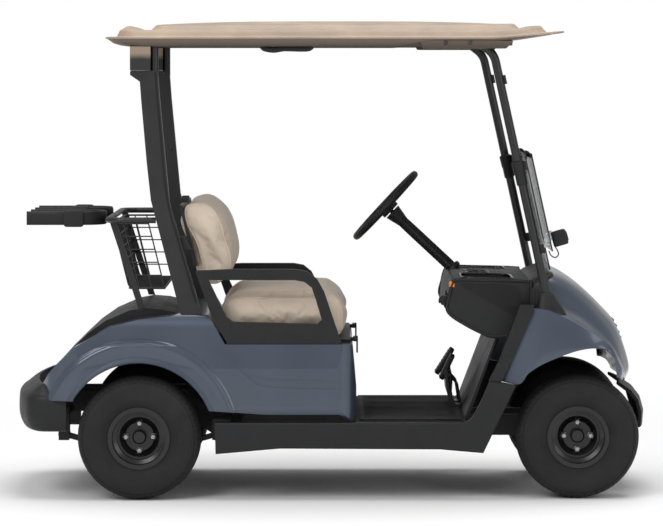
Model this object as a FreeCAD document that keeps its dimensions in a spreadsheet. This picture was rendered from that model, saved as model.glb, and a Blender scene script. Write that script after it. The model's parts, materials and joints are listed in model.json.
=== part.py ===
import FreeCAD
import Part
import math
import os
import Sketcher

# Two-seat electric golf cart with a roof, a folding windshield and a bag rack.
# Millimetres. +X is forward, +Y is the cart's left, +Z is up. The origin is on
# the ground, at the centre of the cart's length and width.

SIZES = {
    # Whole cart
    "nose_reach": 279.0,
    "tail_reach": 483.0,
    "body_half_width": 590.0,
    "wheelbase": 1638.0,
    "front_axle_x": 921.0,
    "panel_wall": 6.0,
    "seat_gap": 0.3,
    "overrun": 20.0,
    "least_run": 0.0001,
    # Wheels and tyres
    "tyre_radius": 231.0,
    "tyre_width": 216.0,
    "tread_width": 176.0,
    "tread_drop": 7.0,
    "disc_ring_radius": 75.0,
    "disc_ring_step": 7.0,
    "carcass_wall": 10.0,
    "bead_radius": 104.0,
    "bead_width": 172.0,
    "rim_lip_radius": 116.0,
    "rim_well_radius": 88.0,
    "rim_wall": 4.0,
    "disc_offset": 28.0,
    "disc_dish": 22.0,
    "hub_radius": 34.0,
    "hub_length": 70.0,
    "hub_cap_radius": 26.0,
    "hub_cap_length": 34.0,
    "lug_circle_radius": 50.8,
    "lug_radius": 10.0,
    "lug_height": 16.0,
    "track_front": 870.0,
    "track_rear": 980.0,
    # Chassis frame
    "frame_top": 284.0,
    "rail_offset": 145.0,
    "rail_width": 45.0,
    "rail_depth": 78.0,
    "rail_end_gap": 115.0,
    "kick_ahead": 287.0,
    "kick_length": 130.0,
    "axle_headroom": 35.0,
    "beam_seat_height": 47.0,
    "outrigger_front_gap": 481.0,
    "outrigger_rear_gap": 337.0,
    "outrigger_width": 40.0,
    "outrigger_depth": 34.0,
    # Floor and toe board
    "floor_front_gap": 421.0,
    "floor_sheet": 10.0,
    "floor_side_gap": 6.0,
    "mat_height": 4.0,
    "mat_edge_gap": 25.0,
    "toe_sheet": 8.0,
    "toe_side_gap": 120.0,
    # Side sills and front pillars
    "sill_rear_gap": 283.0,
    "sill_front_gap": 235.0,
    "sill_rise_length": 191.5,
    "sill_bottom": 174.0,
    "sill_height": 269.0,
    "sill_stand": 10.0,
    "sill_depth": 38.0,
    "pillar_length": 165.0,
    "pillar_height": 286.0,
    "pillar_side_gap": 2.0,
    "pillar_depth": 70.0,
    # Front cowl
    "cowl_back_gap": 290.0,
    "cowl_length": 510.0,
    "cowl_bottom": 421.0,
    "cowl_height": 419.0,
    "cowl_nose_corner": 210.0,
    "cowl_shoulder_drop": 120.0,
    "cowl_shoulder_inset": 130.0,
    # Front bumper
    "bumper_height": 186.0,
    "bumper_depth": 97.0,
    "bumper_wall": 12.0,
    "bumper_sweep_radius": 1500.0,
    "bumper_tyre_gap": 75.0,
    "bumper_reach_gap": 9.9,
    # Dash
    "dash_back_gap": 492.0,
    "dash_length": 322.0,
    "dash_bottom": 603.0,
    "dash_height": 220.0,
    "dash_side_gap": 90.0,
    "dash_wall": 6.0,
    "dash_round": 14.0,
    "pocket_drop": 62.0,
    "pocket_inset": 60.0,
    "cup_radius": 41.0,
    "cup_depth": 78.0,
    "cup_inset": 131.0,
    "cup_inner_y": 62.0,
    "pocket_depth": 170.0,
    "pocket_height": 78.0,
    "pocket_width": 300.0,
    "tray_inset": 60.0,
    "tray_length": 190.0,
    "tray_depth": 16.0,
    "tray_side_gap": 50.0,
    # Rear body
    "tail_inset": 93.0,
    "seat_base_ahead": 810.0,
    "seat_base_lean": 14.4,
    "riser_ahead": 321.6,
    "rear_bottom": 297.0,
    "rear_height": 393.0,
    "rear_corner": 75.0,
    "tail_corner": 170.0,
    "rear_round": 6.0,
    "shoulder_tuck": 12.0,
    "arch_gap": 50.0,
    "flare_radius": 369.0,
    "flare_stand": 7.0,
    "swoosh_ahead": 359.0,
    "swoosh_front_gap": 93.0,
    "swoosh_low": 415.0,
    "swoosh_height": 105.0,
    "swoosh_depth": 3.0,
    "bay_back_ahead": 337.0,
    "bay_front_gap": 53.0,
    "bay_side_gap": 160.0,
    "deck_inset": 29.0,
    "deck_front_ahead": 159.0,
    "deck_low": 432.0,
    "deck_stand": 19.0,
    "deck_wall": 8.0,
    "deck_round": 12.0,
    # Rear bumper
    "tail_bumper_low": 244.0,
    "tail_bumper_height": 95.0,
    "tail_bumper_reach": 215.0,
    "tail_bumper_side_gap": 30.0,
    "tail_bumper_corner": 130.0,
    "tail_bumper_wall": 10.0,
    "slope_rise": 88.0,
    # Batteries, motor and rear axle
    "battery_back_ahead": 387.0,
    "battery_side_gap": 260.0,
    "battery_head_gap": 28.0,
    "axle_tube_radius": 32.0,
    "diff_radius": 78.0,
    "diff_width": 130.0,
    "diff_offset": -40.0,
    "motor_radius": 84.0,
    "motor_length": 210.0,
    "motor_back": 125.0,
    "motor_drop": 26.0,
    "brake_drum_radius": 84.0,
    "brake_drum_width": 56.0,
    # Leaf springs and dampers
    "leaf_front_reach": 287.0,
    "leaf_rear_reach": 293.0,
    "leaf_eye_drop": 5.0,
    "leaf_sag": 46.0,
    "leaf_thickness": 18.0,
    "leaf_width": 50.0,
    "leaf_tyre_gap": 57.0,
    "leaf_eye_radius": 22.0,
    "damper_radius": 22.0,
    # Front axle and steering
    "kingpin_inset": 101.0,
    "steer_gap": 7.0,
    "kingpin_radius": 11.0,
    "kingpin_half_height": 62.0,
    "beam_half_height": 22.0,
    "beam_half_length": 26.0,
    "knuckle_boss_radius": 22.0,
    "knuckle_half_height": 34.0,
    "fork_thickness": 16.0,
    "fork_gap": 1.0,
    "fork_reach": 40.0,
    "spindle_radius": 15.0,
    "steer_arm_length": 62.0,
    "open_pin_clearance": 0.6,
    "tie_pin_radius": 5.0,
    "tie_rod_radius": 8.0,
    "pin_clearance": 0.05,
    # Steering column and wheel
    "steer_back_gap": 709.0,
    "steer_y": 270.0,
    "steer_rise": 246.0,
    "steer_angle": 43.0,
    "steer_rim_radius": 166.0,
    "steer_grip_radius": 13.5,
    "steer_hub_radius": 38.0,
    "steer_hub_height": 62.0,
    "wheel_gap": 6.0,
    "steer_spoke_width": 30.0,
    "steer_spoke_sheet": 8.0,
    "steer_shaft_radius": 9.0,
    "column_radius": 21.0,
    "column_length": 420.0,
    "column_head_radius": 34.0,
    "column_head_length": 62.0,
    # Pedals
    "pedal_back_gap": 496.0,
    "pedal_length": 73.0,
    "pedal_right_y": 50.0,
    "pedal_left_y": 215.0,
    "pedal_width": 92.0,
    "pedal_height": 150.0,
    # Seats
    "cushion_back_ahead": 292.0,
    "cushion_front_gap": 24.0,
    "cushion_height": 178.0,
    "cushion_side_gap": 90.0,
    "seat_base_sheet": 12.0,
    "board_inset": 20.0,
    "hinge_inset": 6.0,
    "hinge_side_inset": 120.0,
    "hinge_rise": 8.0,
    "hinge_radius": 8.0,
    "hinge_pin_radius": 4.0,
    "hinge_width": 50.0,
    "hinge_side_gap": 6.0,
    "hinge_ear": 12.0,
    "hinge_sheet": 6.0,
    "hinge_drop": 50.0,
    "back_rest_ahead": 155.0,
    "back_rest_length": 192.0,
    "back_rest_rise": 194.0,
    "back_rest_height": 362.0,
    "back_rest_side_gap": 120.0,
    "arm_back_ahead": 211.0,
    "arm_front_gap": 58.0,
    "arm_height": 278.7,
    "arm_width": 38.0,
    "arm_side_gap": 28.0,
    "arm_left_drop": 33.0,
    "arm_left_inset": 40.0,
    # Struts
    "front_strut_side_gap": 70.0,
    "front_strut_radius": 16.0,
    "front_strut_gap": 113.0,
    "front_strut_sink": 110.0,
    "front_strut_angle": 12.4,
    "front_strut_length": 900.0,
    "front_strut_foot_length": 90.0,
    "front_strut_bend_radius": 60.0,
    "front_strut_return_length": 110.0,
    "rear_strut_side_gap": 62.0,
    "rear_strut_depth": 44.0,
    "strut_cover_behind": 30.0,
    "strut_cover_length": 265.0,
    "strut_cover_drop": 90.0,
    "strut_cover_round": 6.0,
    "strut_cap_width": 58.0,
    "strut_cap_length": 76.0,
    "rear_tube_radius": 15.0,
    # Roof
    "roof_behind": 124.0,
    "roof_front_gap": 37.0,
    "roof_side_gap": 15.0,
    "roof_corner": 110.0,
    "roof_bow": 36.0,
    "roof_sweep_length": 330.0,
    "hump_half_length": 40.0,
    "hump_height": 17.0,
    "roof_lip_z": 1718.0,
    "roof_band": 32.0,
    "roof_crown_rise": 68.0,
    "roof_wall": 6.0,
    "panel_back_gap": 176.0,
    "panel_front_gap": 184.0,
    "panel_side_gap": 155.0,
    "roof_rail_drop": 31.0,
    "roof_rail_width": 44.0,
    "roof_rail_front_gap": 211.0,
    "bracket_length": 346.0,
    "bracket_sheet": 4.0,
    "bracket_drop": 8.0,
    "bracket_rise": 23.0,
    "handle_back_ahead": 459.0,
    "handle_length": 186.0,
    "handle_drop": 34.0,
    "handle_radius": 9.0,
    # Rack and basket
    "basket_behind": 106.0,
    "basket_depth": 133.0,
    "basket_deck_gap": 69.0,
    "basket_height": 251.0,
    "basket_strut_gap": 108.0,
    "basket_wire": 6.0,
    "basket_pitch": 70.0,
    "basket_lean": 60.0,
    "rack_bar": 26.0,
    "rack_bar_sheet": 6.0,
    "rack_tube_radius": 11.0,
    "rack_bend_radius": 60.0,
    "rack_lean": 109.0,
    "rest_stand": 12.0,
    "rest_thickness": 26.0,
    "rest_height": 53.0,
    "rest_inset": 50.0,
    "rest_bend_radius": 90.0,
    # Windshield
    "shield_sheet": 5.0,
    "shield_strut_gap": 12.0,
    "shield_offset": 32.0,
    "shield_fold_offset": 12.0,
    "shield_cowl_gap": 10.0,
    "shield_roof_gap": 31.0,
    "shield_edge_gap": 7.0,
    "fold_strip_height": 16.0,
    "fold_strip_sheet": 4.0,
    "fold_barrel_radius": 5.5,
    "fold_barrel_width": 30.0,
    "fold_barrel_gap": 3.0,
    "fold_pin_radius": 2.5,
    "clip_bite": 2.0,
    "clip_height": 34.0,
}


STEER_LIMIT = 30.0
LUG_COUNT = 4
ARC_SHARE = 0.45
SEAT_TOP_SHARE = 0.7252
FOLD_SHARE = 0.51852
CLIP_SHARES = (0.184, 0.899)
TOP_CLIP_SHARE = 0.685

COWL_SIDE_SHARES = (
    (0.000, 0.053), (0.118, 0.024), (0.196, 0.126), (0.310, 0.215), (0.478, 0.298), (0.604, 0.339),
    (0.704, 0.346), (0.818, 0.298), (0.839, 0.255), (0.861, 0.086), (0.925, 0.000), (0.986, 0.064),
    (1.000, 0.100), (0.978, 0.212), (0.939, 0.372), (0.920, 0.434), (0.878, 0.539), (0.833, 0.623),
    (0.776, 0.678), (0.682, 0.778), (0.590, 0.871), (0.473, 0.964), (0.380, 1.000), (0.247, 0.952),
    (0.235, 0.666),
)
COWL_OPENING_SHARES = (0.1, 0.25, 0.45)
SILL_FRONT_SHARES = (
    (0.000, 0.439), (0.099, 0.472), (0.199, 0.565), (0.333, 0.755), (0.480, 1.000), (0.713, 0.995),
    (1.000, 0.952), (0.363, 0.015), (-0.485, 0.067),
)
SILL_BACK_SHARES = ((1.263, 0.078), (0.018, 0.000), (0.000, 0.439))
PILLAR_SHARES = (
    (0.000, 0.000), (0.273, 0.000), (1.000, 0.899), (1.000, 1.000), (0.691, 1.000), (0.218, 0.248),
)


BUMPER_SHARES = (
    (0.000, 1.000), (0.567, 0.806), (0.856, 0.613), (1.000, 0.350), (0.960, 0.054), (0.620, 0.000),
    (0.620, 0.065), (0.860, 0.110), (0.870, 0.350), (0.742, 0.580), (0.485, 0.742), (0.000, 0.920),
)
DASH_SHARES = (
    (0.076, 1.000), (0.024, 0.754), (0.000, 0.406), (0.473, 0.000), (0.729, 0.000), (0.982, 0.442),
    (1.000, 0.969),
)
REAR_SIDE_SHARES = (
    (1.000, 0.725), (0.914, 1.000), (0.772, 1.000), (0.548, 0.957), (0.388, 0.883), (0.300, 0.781),
    (0.214, 0.697), (0.121, 0.539), (0.073, 0.438), (0.041, 0.344), (0.000, 0.204), (0.088, 0.186),
    (0.206, 0.186),
)
SWOOSH_SHARES = (
    (0.000, 1.000), (0.160, 0.480), (0.390, 0.370), (1.100, 0.300), (1.100, 0.000), (0.420, 0.060),
    (0.235, 0.150), (0.060, 0.650),
)
DECK_SHARES = (
    (0.000, 0.000), (0.044, 0.134), (0.112, 0.278), (0.212, 0.469), (0.323, 0.664), (0.444, 0.823),
    (0.610, 0.960), (0.723, 1.000), (0.842, 0.982), (1.000, 0.910),
)
CUSHION_SHARES = (
    (0.070, 0.000), (0.000, 0.450), (0.000, 0.700), (0.051, 0.856), (0.172, 0.967), (0.617, 1.000),
    (0.860, 0.989),
    (0.941, 0.878), (0.990, 0.656), (1.000, 0.367), (0.986, 0.000),
)
BACK_SHARES = (
    (0.682, 0.000), (0.792, 0.040), (0.833, 0.127), (0.990, 0.253), (1.000, 0.353), (0.958, 0.480),
    (0.875, 0.647), (0.740, 0.833), (0.578, 0.951), (0.411, 1.000), (0.167, 1.000), (0.000, 0.930),
    (0.302, 0.245), (0.448, 0.035),
)
BACK_BOARD_SHARES = (
    (0.020, 0.880), (0.296, 0.245), (0.240, 0.245), (-0.036, 0.880),
)
BACK_ARM_SHARES = (
    (0.100, 0.560), (0.200, 0.430), (-0.160, 0.430), (-0.240, 0.560),
)
ARM_SHARES = (
    (0.000, 0.978), (0.240, 1.000), (0.684, 1.000), (0.769, 0.971), (0.837, 0.867), (0.885, 0.699),
    (1.006, 0.000), (0.224, 0.000), (0.115, 0.357),
)
ARM_WINDOW_SHARES = (
    (0.092, 0.856), (0.684, 0.856), (0.750, 0.831), (0.799, 0.756), (0.826, 0.605), (0.869, 0.322),
    (0.837, 0.268), (0.261, 0.297), (0.213, 0.361),
)
STRUT_COVER_SHARES = (
    (0.000, 1.000), (0.000, 0.982), (0.136, 0.955), (0.155, 0.878), (0.230, 0.624), (0.287, 0.470),
    (0.702, 0.000), (1.000, 0.000), (0.547, 0.462), (0.415, 0.878), (0.385, 1.000),
)
PEDAL_SHARES = (
    (0.550, 0.000), (1.000, 0.000), (1.000, 0.080), (0.750, 0.100), (0.420, 0.450), (0.300, 1.000),
    (0.140, 0.970), (0.280, 0.420),
)
SPOKE_TURNS = (0.0, 90.0, -90.0)
FOLD_STATION_SHARES = (-0.85, 0.0, 0.85)


class Size:
    """A length with the sheet expression that gives it."""

    def __init__(self, value, text):
        self.value = value
        self.text = text

    def __float__(self):
        return self.value

    def __add__(self, other):
        other = as_size(other)
        return Size(self.value + other.value, "(%s + %s)" % (self.text, other.text))

    def __sub__(self, other):
        other = as_size(other)
        return Size(self.value - other.value, "(%s - %s)" % (self.text, other.text))

    def __rsub__(self, other):
        return as_size(other) - self

    def __mul__(self, other):
        other = as_size(other)
        return Size(self.value * other.value, "(%s * %s)" % (self.text, other.text))

    def __truediv__(self, other):
        other = as_size(other)
        return Size(self.value / other.value, "(%s / %s)" % (self.text, other.text))

    def __neg__(self):
        return Size(-self.value, "(-%s)" % self.text)

    __radd__ = __add__
    __rmul__ = __mul__


def as_size(number):
    """A plain number, such as a share, taken into a size's arithmetic."""
    if isinstance(number, Size):
        return number
    return Size(float(number), "(%.6f)" % number)


document = FreeCAD.newDocument("golf_cart")
sheet = document.addObject("Spreadsheet::Sheet", "Sizes")
for row, (alias, number) in enumerate(SIZES.items(), start=1):
    sheet.set("A%d" % row, alias)
    sheet.set("B%d" % row, "%g" % number)
    sheet.setAlias("B%d" % row, alias)
document.recompute()


class Named:
    """Reads a size from the sheet, or works it out from others, by its name."""

    def __getattr__(self, alias):
        if alias in RULES:
            return RULES[alias]()
        return Size(float(sheet.get(alias)), "Sizes." + alias)


dim = Named()


# Sizes and places worked out from the sheet's sizes
RULES = {
    "rear_axle_x": lambda: dim.front_axle_x - dim.wheelbase,
    "nose_x": lambda: dim.front_axle_x + dim.nose_reach,
    "tail_x": lambda: dim.rear_axle_x - dim.tail_reach,
    "tread_radius": lambda: dim.tyre_radius - dim.tread_drop,
    "bulge_radius": lambda: (dim.tyre_radius + dim.bead_radius) / 2,
    "rail_front_x": lambda: dim.nose_x - dim.rail_end_gap,
    "rail_rear_x": lambda: dim.tail_x + dim.rail_end_gap,
    "rail_low": lambda: dim.frame_top - dim.rail_depth,
    "rail_kick_x": lambda: dim.rear_axle_x + dim.kick_ahead,
    "kick_rise": lambda: dim.tyre_radius + dim.axle_tube_radius + dim.axle_headroom - dim.rail_low,
    "outrigger_front_x": lambda: dim.front_axle_x - dim.outrigger_front_gap,
    "outrigger_rear_x": lambda: dim.rear_axle_x + dim.outrigger_rear_gap,
    "sill_outer": lambda: dim.body_half_width + dim.sill_stand,
    "sill_back": lambda: dim.rear_axle_x + dim.sill_rear_gap,
    "sill_front": lambda: dim.front_axle_x - dim.sill_front_gap,
    "pillar_outer": lambda: dim.body_half_width - dim.pillar_side_gap,
    "floor_back": lambda: dim.seat_base_front,
    "floor_front": lambda: dim.front_axle_x - dim.floor_front_gap,
    "floor_half_width": lambda: dim.sill_outer - dim.sill_depth - dim.floor_side_gap,
    "toe_half_width": lambda: dim.body_half_width - dim.toe_side_gap,
    "cowl_back": lambda: dim.front_axle_x - dim.cowl_back_gap,
    "cowl_top": lambda: dim.cowl_bottom + dim.cowl_height,
    "bumper_half_width": lambda: dim.track_front / 2 - dim.tyre_width / 2 - dim.bumper_tyre_gap,
    "dash_back": lambda: dim.front_axle_x - dim.dash_back_gap,
    "dash_half_width": lambda: dim.body_half_width - dim.dash_side_gap,
    "dash_top": lambda: dim.dash_bottom + dim.dash_height,
    "cup_x": lambda: dim.dash_back + dim.cup_inset,
    "rear_tail": lambda: dim.tail_x + dim.tail_inset,
    "rear_top": lambda: dim.rear_bottom + dim.rear_height,
    "seat_base_front": lambda: dim.rear_axle_x + dim.seat_base_ahead,
    "seat_top_z": lambda: dim.rear_bottom + dim.rear_height * SEAT_TOP_SHARE,
    "riser_x": lambda: dim.rear_axle_x + dim.riser_ahead,
    "arch_radius": lambda: dim.tyre_radius + dim.arch_gap,
    "swoosh_back": lambda: dim.rear_axle_x + dim.swoosh_ahead,
    "swoosh_length": lambda: dim.seat_base_front - dim.swoosh_front_gap - dim.swoosh_back,
    "bay_back": lambda: dim.rear_axle_x + dim.bay_back_ahead,
    "bay_front": lambda: dim.seat_base_front - dim.bay_front_gap,
    "bay_half_width": lambda: dim.body_half_width - dim.bay_side_gap,
    "deck_half_width": lambda: dim.bay_half_width,
    "deck_tail": lambda: dim.rear_tail + dim.deck_inset,
    "deck_length": lambda: dim.rear_axle_x + dim.deck_front_ahead - dim.deck_tail,
    "deck_top": lambda: dim.rear_top + dim.deck_stand,
    "deck_rise": lambda: dim.deck_top - dim.deck_low,
    "tail_bumper_half_width": lambda: dim.body_half_width - dim.tail_bumper_side_gap,
    "battery_back": lambda: dim.rear_axle_x + dim.battery_back_ahead,
    "battery_length": lambda: dim.bay_front - dim.battery_back,
    "battery_half_width": lambda: dim.body_half_width - dim.battery_side_gap,
    "battery_height": lambda: dim.seat_top_z - dim.battery_head_gap - dim.frame_top,
    "leaf_front_x": lambda: dim.rear_axle_x + dim.leaf_front_reach,
    "leaf_rear_x": lambda: dim.rear_axle_x - dim.leaf_rear_reach,
    "leaf_eye_z": lambda: dim.tyre_radius - dim.leaf_eye_drop,
    "leaf_y": lambda: dim.track_rear / 2 - dim.tyre_width / 2 - dim.leaf_tyre_gap,
    "damper_y": lambda: (dim.rail_offset + dim.rail_width / 2 + dim.leaf_y - dim.leaf_width / 2) / 2,
    "kingpin_y": lambda: dim.track_front / 2 - dim.kingpin_inset,
    "steer_x": lambda: dim.front_axle_x - dim.steer_back_gap,
    "steer_z": lambda: dim.dash_top + dim.steer_rise,
    "pedal_back": lambda: dim.front_axle_x - dim.pedal_back_gap,
    "cushion_back": lambda: dim.rear_axle_x + dim.cushion_back_ahead,
    "cushion_length": lambda: dim.seat_base_front - dim.cushion_front_gap - dim.cushion_back,
    "cushion_half_width": lambda: dim.body_half_width - dim.cushion_side_gap,
    "hinge_x": lambda: dim.seat_base_front - dim.hinge_inset,
    "hinge_y": lambda: dim.cushion_half_width - dim.hinge_side_inset,
    "hinge_z": lambda: dim.seat_top_z + dim.hinge_rise,
    "back_rest_tail": lambda: dim.rear_axle_x + dim.back_rest_ahead,
    "back_rest_low": lambda: dim.seat_top_z + dim.back_rest_rise,
    "back_rest_half_width": lambda: dim.body_half_width - dim.back_rest_side_gap,
    "arm_back": lambda: dim.rear_axle_x + dim.arm_back_ahead,
    "arm_length": lambda: dim.seat_base_front - dim.arm_front_gap - dim.arm_back,
    "arm_y": lambda: dim.body_half_width - dim.arm_side_gap,
    "front_strut_y": lambda: dim.body_half_width - dim.front_strut_side_gap,
    "front_strut_base_x": lambda: dim.front_axle_x - dim.front_strut_gap,
    "front_strut_base_z": lambda: dim.cowl_top - dim.front_strut_sink,
    "rear_strut_y": lambda: dim.body_half_width - dim.rear_strut_side_gap,
    "strut_cover_back": lambda: dim.rear_axle_x - dim.strut_cover_behind,
    "strut_cover_height": lambda: dim.roof_rail_low - dim.strut_cover_drop - dim.rear_top,
    "roof_back": lambda: dim.rear_axle_x - dim.roof_behind,
    "roof_front": lambda: dim.front_axle_x - dim.roof_front_gap,
    "roof_half_width": lambda: dim.body_half_width - dim.roof_side_gap,
    "roof_crown_z": lambda: dim.roof_lip_z + dim.roof_crown_rise,
    "roof_panel_back": lambda: dim.roof_back + dim.panel_back_gap,
    "roof_panel_front": lambda: dim.roof_front - dim.panel_front_gap,
    "roof_panel_half_width": lambda: dim.roof_half_width - dim.panel_side_gap,
    "roof_rail_low": lambda: dim.roof_lip_z - dim.roof_rail_drop,
    "roof_rail_front": lambda: dim.roof_front - dim.roof_rail_front_gap,
    "handle_back": lambda: dim.rear_axle_x + dim.handle_back_ahead,
    "basket_back": lambda: dim.rear_axle_x - dim.basket_behind,
    "basket_front": lambda: dim.basket_back + dim.basket_depth,
    "basket_low": lambda: dim.deck_top + dim.basket_deck_gap,
    "basket_top": lambda: dim.basket_low + dim.basket_height,
    "basket_half_width": lambda: dim.rear_strut_y - dim.basket_strut_gap,
    "rest_y": lambda: dim.basket_half_width / 2,
    "rest_half_gap": lambda: dim.rest_y / 2,
    "rest_tail_x": lambda: dim.tail_x + dim.rest_inset,
    "rest_z": lambda: dim.basket_top + dim.rest_stand,
    "shield_half_width": lambda: dim.front_strut_y + dim.shield_strut_gap,
    "shield_low_z": lambda: dim.cowl_top + dim.shield_cowl_gap,
    "shield_fold_z": lambda: dim.shield_low_z + (dim.roof_rail_low - dim.shield_low_z) * FOLD_SHARE,
    "shield_upper_length": lambda: dim.roof_rail_low - dim.shield_roof_gap - dim.shield_fold_z,
}

sub_parts = []


def vector(x, y, z):
    """A point or direction from sizes or numbers."""
    return FreeCAD.Vector(float(x), float(y), float(z))


def keep(item, label):
    """Names an object as a sub-part, to be checked and written."""
    item.Label = label
    sub_parts.append(item)
    return item


def feature(label, shape):
    """A sub-part whose shape is worked out from the sheet's sizes."""
    item = document.addObject("Part::Feature", label)
    item.Shape = shape
    item.Placement = shape.Placement
    return keep(item, label)


def mirrored(label, source):
    """The same sub-part on the cart's other side."""
    item = document.addObject("Part::Mirroring", label)
    item.Source = source
    item.Normal = vector(0, 1, 0)
    item.Base = vector(0, 0, 0)
    return keep(item, label)


def spread(shares, low, span):
    """Scales an outline of shares to the box that starts at low."""
    return [(low[0] + span[0] * across, low[1] + span[1] * up) for across, up in shares]


def flat_point(plane, across, up, level=0):
    """A point on the side, plan or front plane, moved out by level."""
    if plane == "side":
        return vector(across, level, up)
    if plane == "plan":
        return vector(across, up, level)
    return vector(level, across, up)


def corner_arc(before, point, after, radius, most_share):
    """Start, middle and end of the arc that rounds a corner between two runs."""
    back = before - point
    ahead = after - point
    half = back.getAngle(ahead) / 2
    trim = min(float(radius) / math.tan(half), most_share * min(back.Length, ahead.Length))
    if trim < float(dim.least_run):
        return point, point, point
    fillet = trim * math.tan(half)
    back.normalize()
    ahead.normalize()
    middle = point + (back + ahead).normalize() * (fillet / math.sin(half) - fillet)
    return point + back * trim, middle, point + ahead * trim


def rounded_face(plane, corners, radius=0.0, level=0):
    """A closed flat outline whose corners are rounded as far as they allow."""
    points = [flat_point(plane, across, up, level) for across, up in corners]
    count = len(points)
    arcs = []
    for index, point in enumerate(points):
        following = points[(index + 1) % count]
        arcs.append(corner_arc(points[index - 1], point, following, radius, ARC_SHARE))
    edges = []
    for index, (start, middle, end) in enumerate(arcs):
        if (end - start).Length > float(dim.least_run):
            edges.append(Part.Arc(start, middle, end).toShape())
        following = arcs[(index + 1) % count][0]
        if (following - end).Length > float(dim.least_run):
            edges.append(Part.LineSegment(end, following).toShape())
    return Part.Face(Part.Wire(edges))


def side_prism(corners, near, far, radius=0.0):
    """A side outline carried across the cart from y near to y far."""
    face = rounded_face("side", corners, radius, near)
    return face.extrude(vector(0, float(far) - float(near), 0))


def plan_prism(corners, low, high, radius=0.0):
    """A plan outline carried up from z low to z high."""
    face = rounded_face("plan", corners, radius, low)
    return face.extrude(vector(0, 0, float(high) - float(low)))


def both_sides(half, plane="plan"):
    """A plan or front outline made whole by its mirror half."""
    if plane == "plan":
        return list(half) + [(across, -up) for across, up in reversed(half)]
    return list(half) + [(-across, up) for across, up in reversed(half)]


def box_between(low, high):
    """A block between two opposite corners."""
    low = vector(*low)
    high = vector(*high)
    span = high - low
    return Part.makeBox(span.x, span.y, span.z, low)


def rod(start, end, radius):
    """A round bar between two points."""
    start = vector(*start)
    line = vector(*end) - start
    return Part.makeCylinder(float(radius), line.Length, start, line)


def tube_path(points, bend):
    """Straight runs joined by tangent arcs."""
    points = [vector(*point) for point in points]
    edges = []
    last = points[0]
    for before, point, after in zip(points, points[1:], points[2:]):
        start, middle, end = corner_arc(before, point, after, bend, ARC_SHARE)
        edges.append(Part.LineSegment(last, start).toShape())
        if (end - start).Length > float(dim.least_run):
            edges.append(Part.Arc(start, middle, end).toShape())
        last = end
    edges.append(Part.LineSegment(last, points[-1]).toShape())
    return Part.Wire(edges)


def bent_tube(points, radius, bend):
    """A round bar along a path of runs and arcs."""
    path = tube_path(points, bend)
    start = path.Vertexes[0].Point
    ring = Part.makeCircle(float(radius), start, vector(*points[1]) - start)
    return path.makePipeShell([Part.Wire(ring)], True, False)


def joined(shapes):
    """One solid from pieces that share faces or overlap."""
    return shapes[0].multiFuse(shapes[1:]).removeSplitter()


PLANE_ROLES = {"side": "XZ_Plane", "plan": "XY_Plane", "front": "YZ_Plane"}


def new_body(label):
    """An empty body, kept as a sub-part."""
    return keep(document.addObject("PartDesign::Body", label), label)


def sketch_in(body, plane):
    """A sketch on one of the body's own planes."""
    sketch = body.newObject("Sketcher::SketchObject", body.Label + "_sketch")
    role = PLANE_ROLES[plane]
    support = [item for item in body.Origin.OriginFeatures if item.Role == role][0]
    sketch.AttachmentSupport = [(support, "")]
    sketch.MapMode = "FlatFace"
    return sketch


def draw_outline(sketch, corners):
    """A closed outline whose corners are held by the sheet."""
    first = sketch.GeometryCount
    count = len(corners)
    points = [vector(across, up, 0) for across, up in corners]
    for index in range(count):
        line = Part.LineSegment(points[index], points[(index + 1) % count])
        sketch.addGeometry(line, False)
    for index, (across, up) in enumerate(corners):
        line = first + index
        following = first + (index + 1) % count
        sketch.addConstraint(Sketcher.Constraint("Coincident", line, 2, following, 1))
        for kind, size in (("DistanceX", as_size(across)), ("DistanceY", as_size(up))):
            rule = Sketcher.Constraint(kind, -1, 1, line, 1, size.value)
            number = sketch.addConstraint(rule)
            sketch.setExpression("Constraints[%d]" % number, size.text)


def pad(body, sketch, length):
    """Pads a sketch by length, half to each side."""
    item = body.newObject("PartDesign::Pad", body.Label + "_pad")
    item.Profile = sketch
    item.SideType = "Symmetric"
    item.setExpression("Length", as_size(length).text)
    sketch.Visibility = False
    document.recompute()
    return item


def revolve(body, sketch, axis):
    """Turns a sketch once round one of its own axes."""
    item = body.newObject("PartDesign::Revolution", body.Label + "_revolution")
    item.Profile = sketch
    item.ReferenceAxis = (sketch, [axis])
    item.Angle = 360.0
    document.recompute()
    return item


def round_edges(body, base, chosen, radius):
    """Rounds the edges of a feature that a test picks."""
    names = []
    for number, edge in enumerate(base.Shape.Edges, start=1):
        if chosen(edge):
            names.append("Edge%d" % number)
    item = body.newObject("PartDesign::Fillet", body.Label + "_fillet")
    item.Base = (base, names)
    item.setExpression("Radius", as_size(radius).text)
    document.recompute()
    return item


def place(item, x, y, z):
    """Ties a sub-part's place to the sheet."""
    for axis, size in (("x", as_size(x)), ("y", as_size(y)), ("z", as_size(z))):
        item.setExpression("Placement.Base." + axis, size.text)


def placed(label, source, x, y, z):
    """A copy of a modelled piece, set at its own place."""
    item = document.addObject("Part::Compound", label)
    item.Links = [source]
    place(item, x, y, z)
    return keep(item, label)


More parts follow.
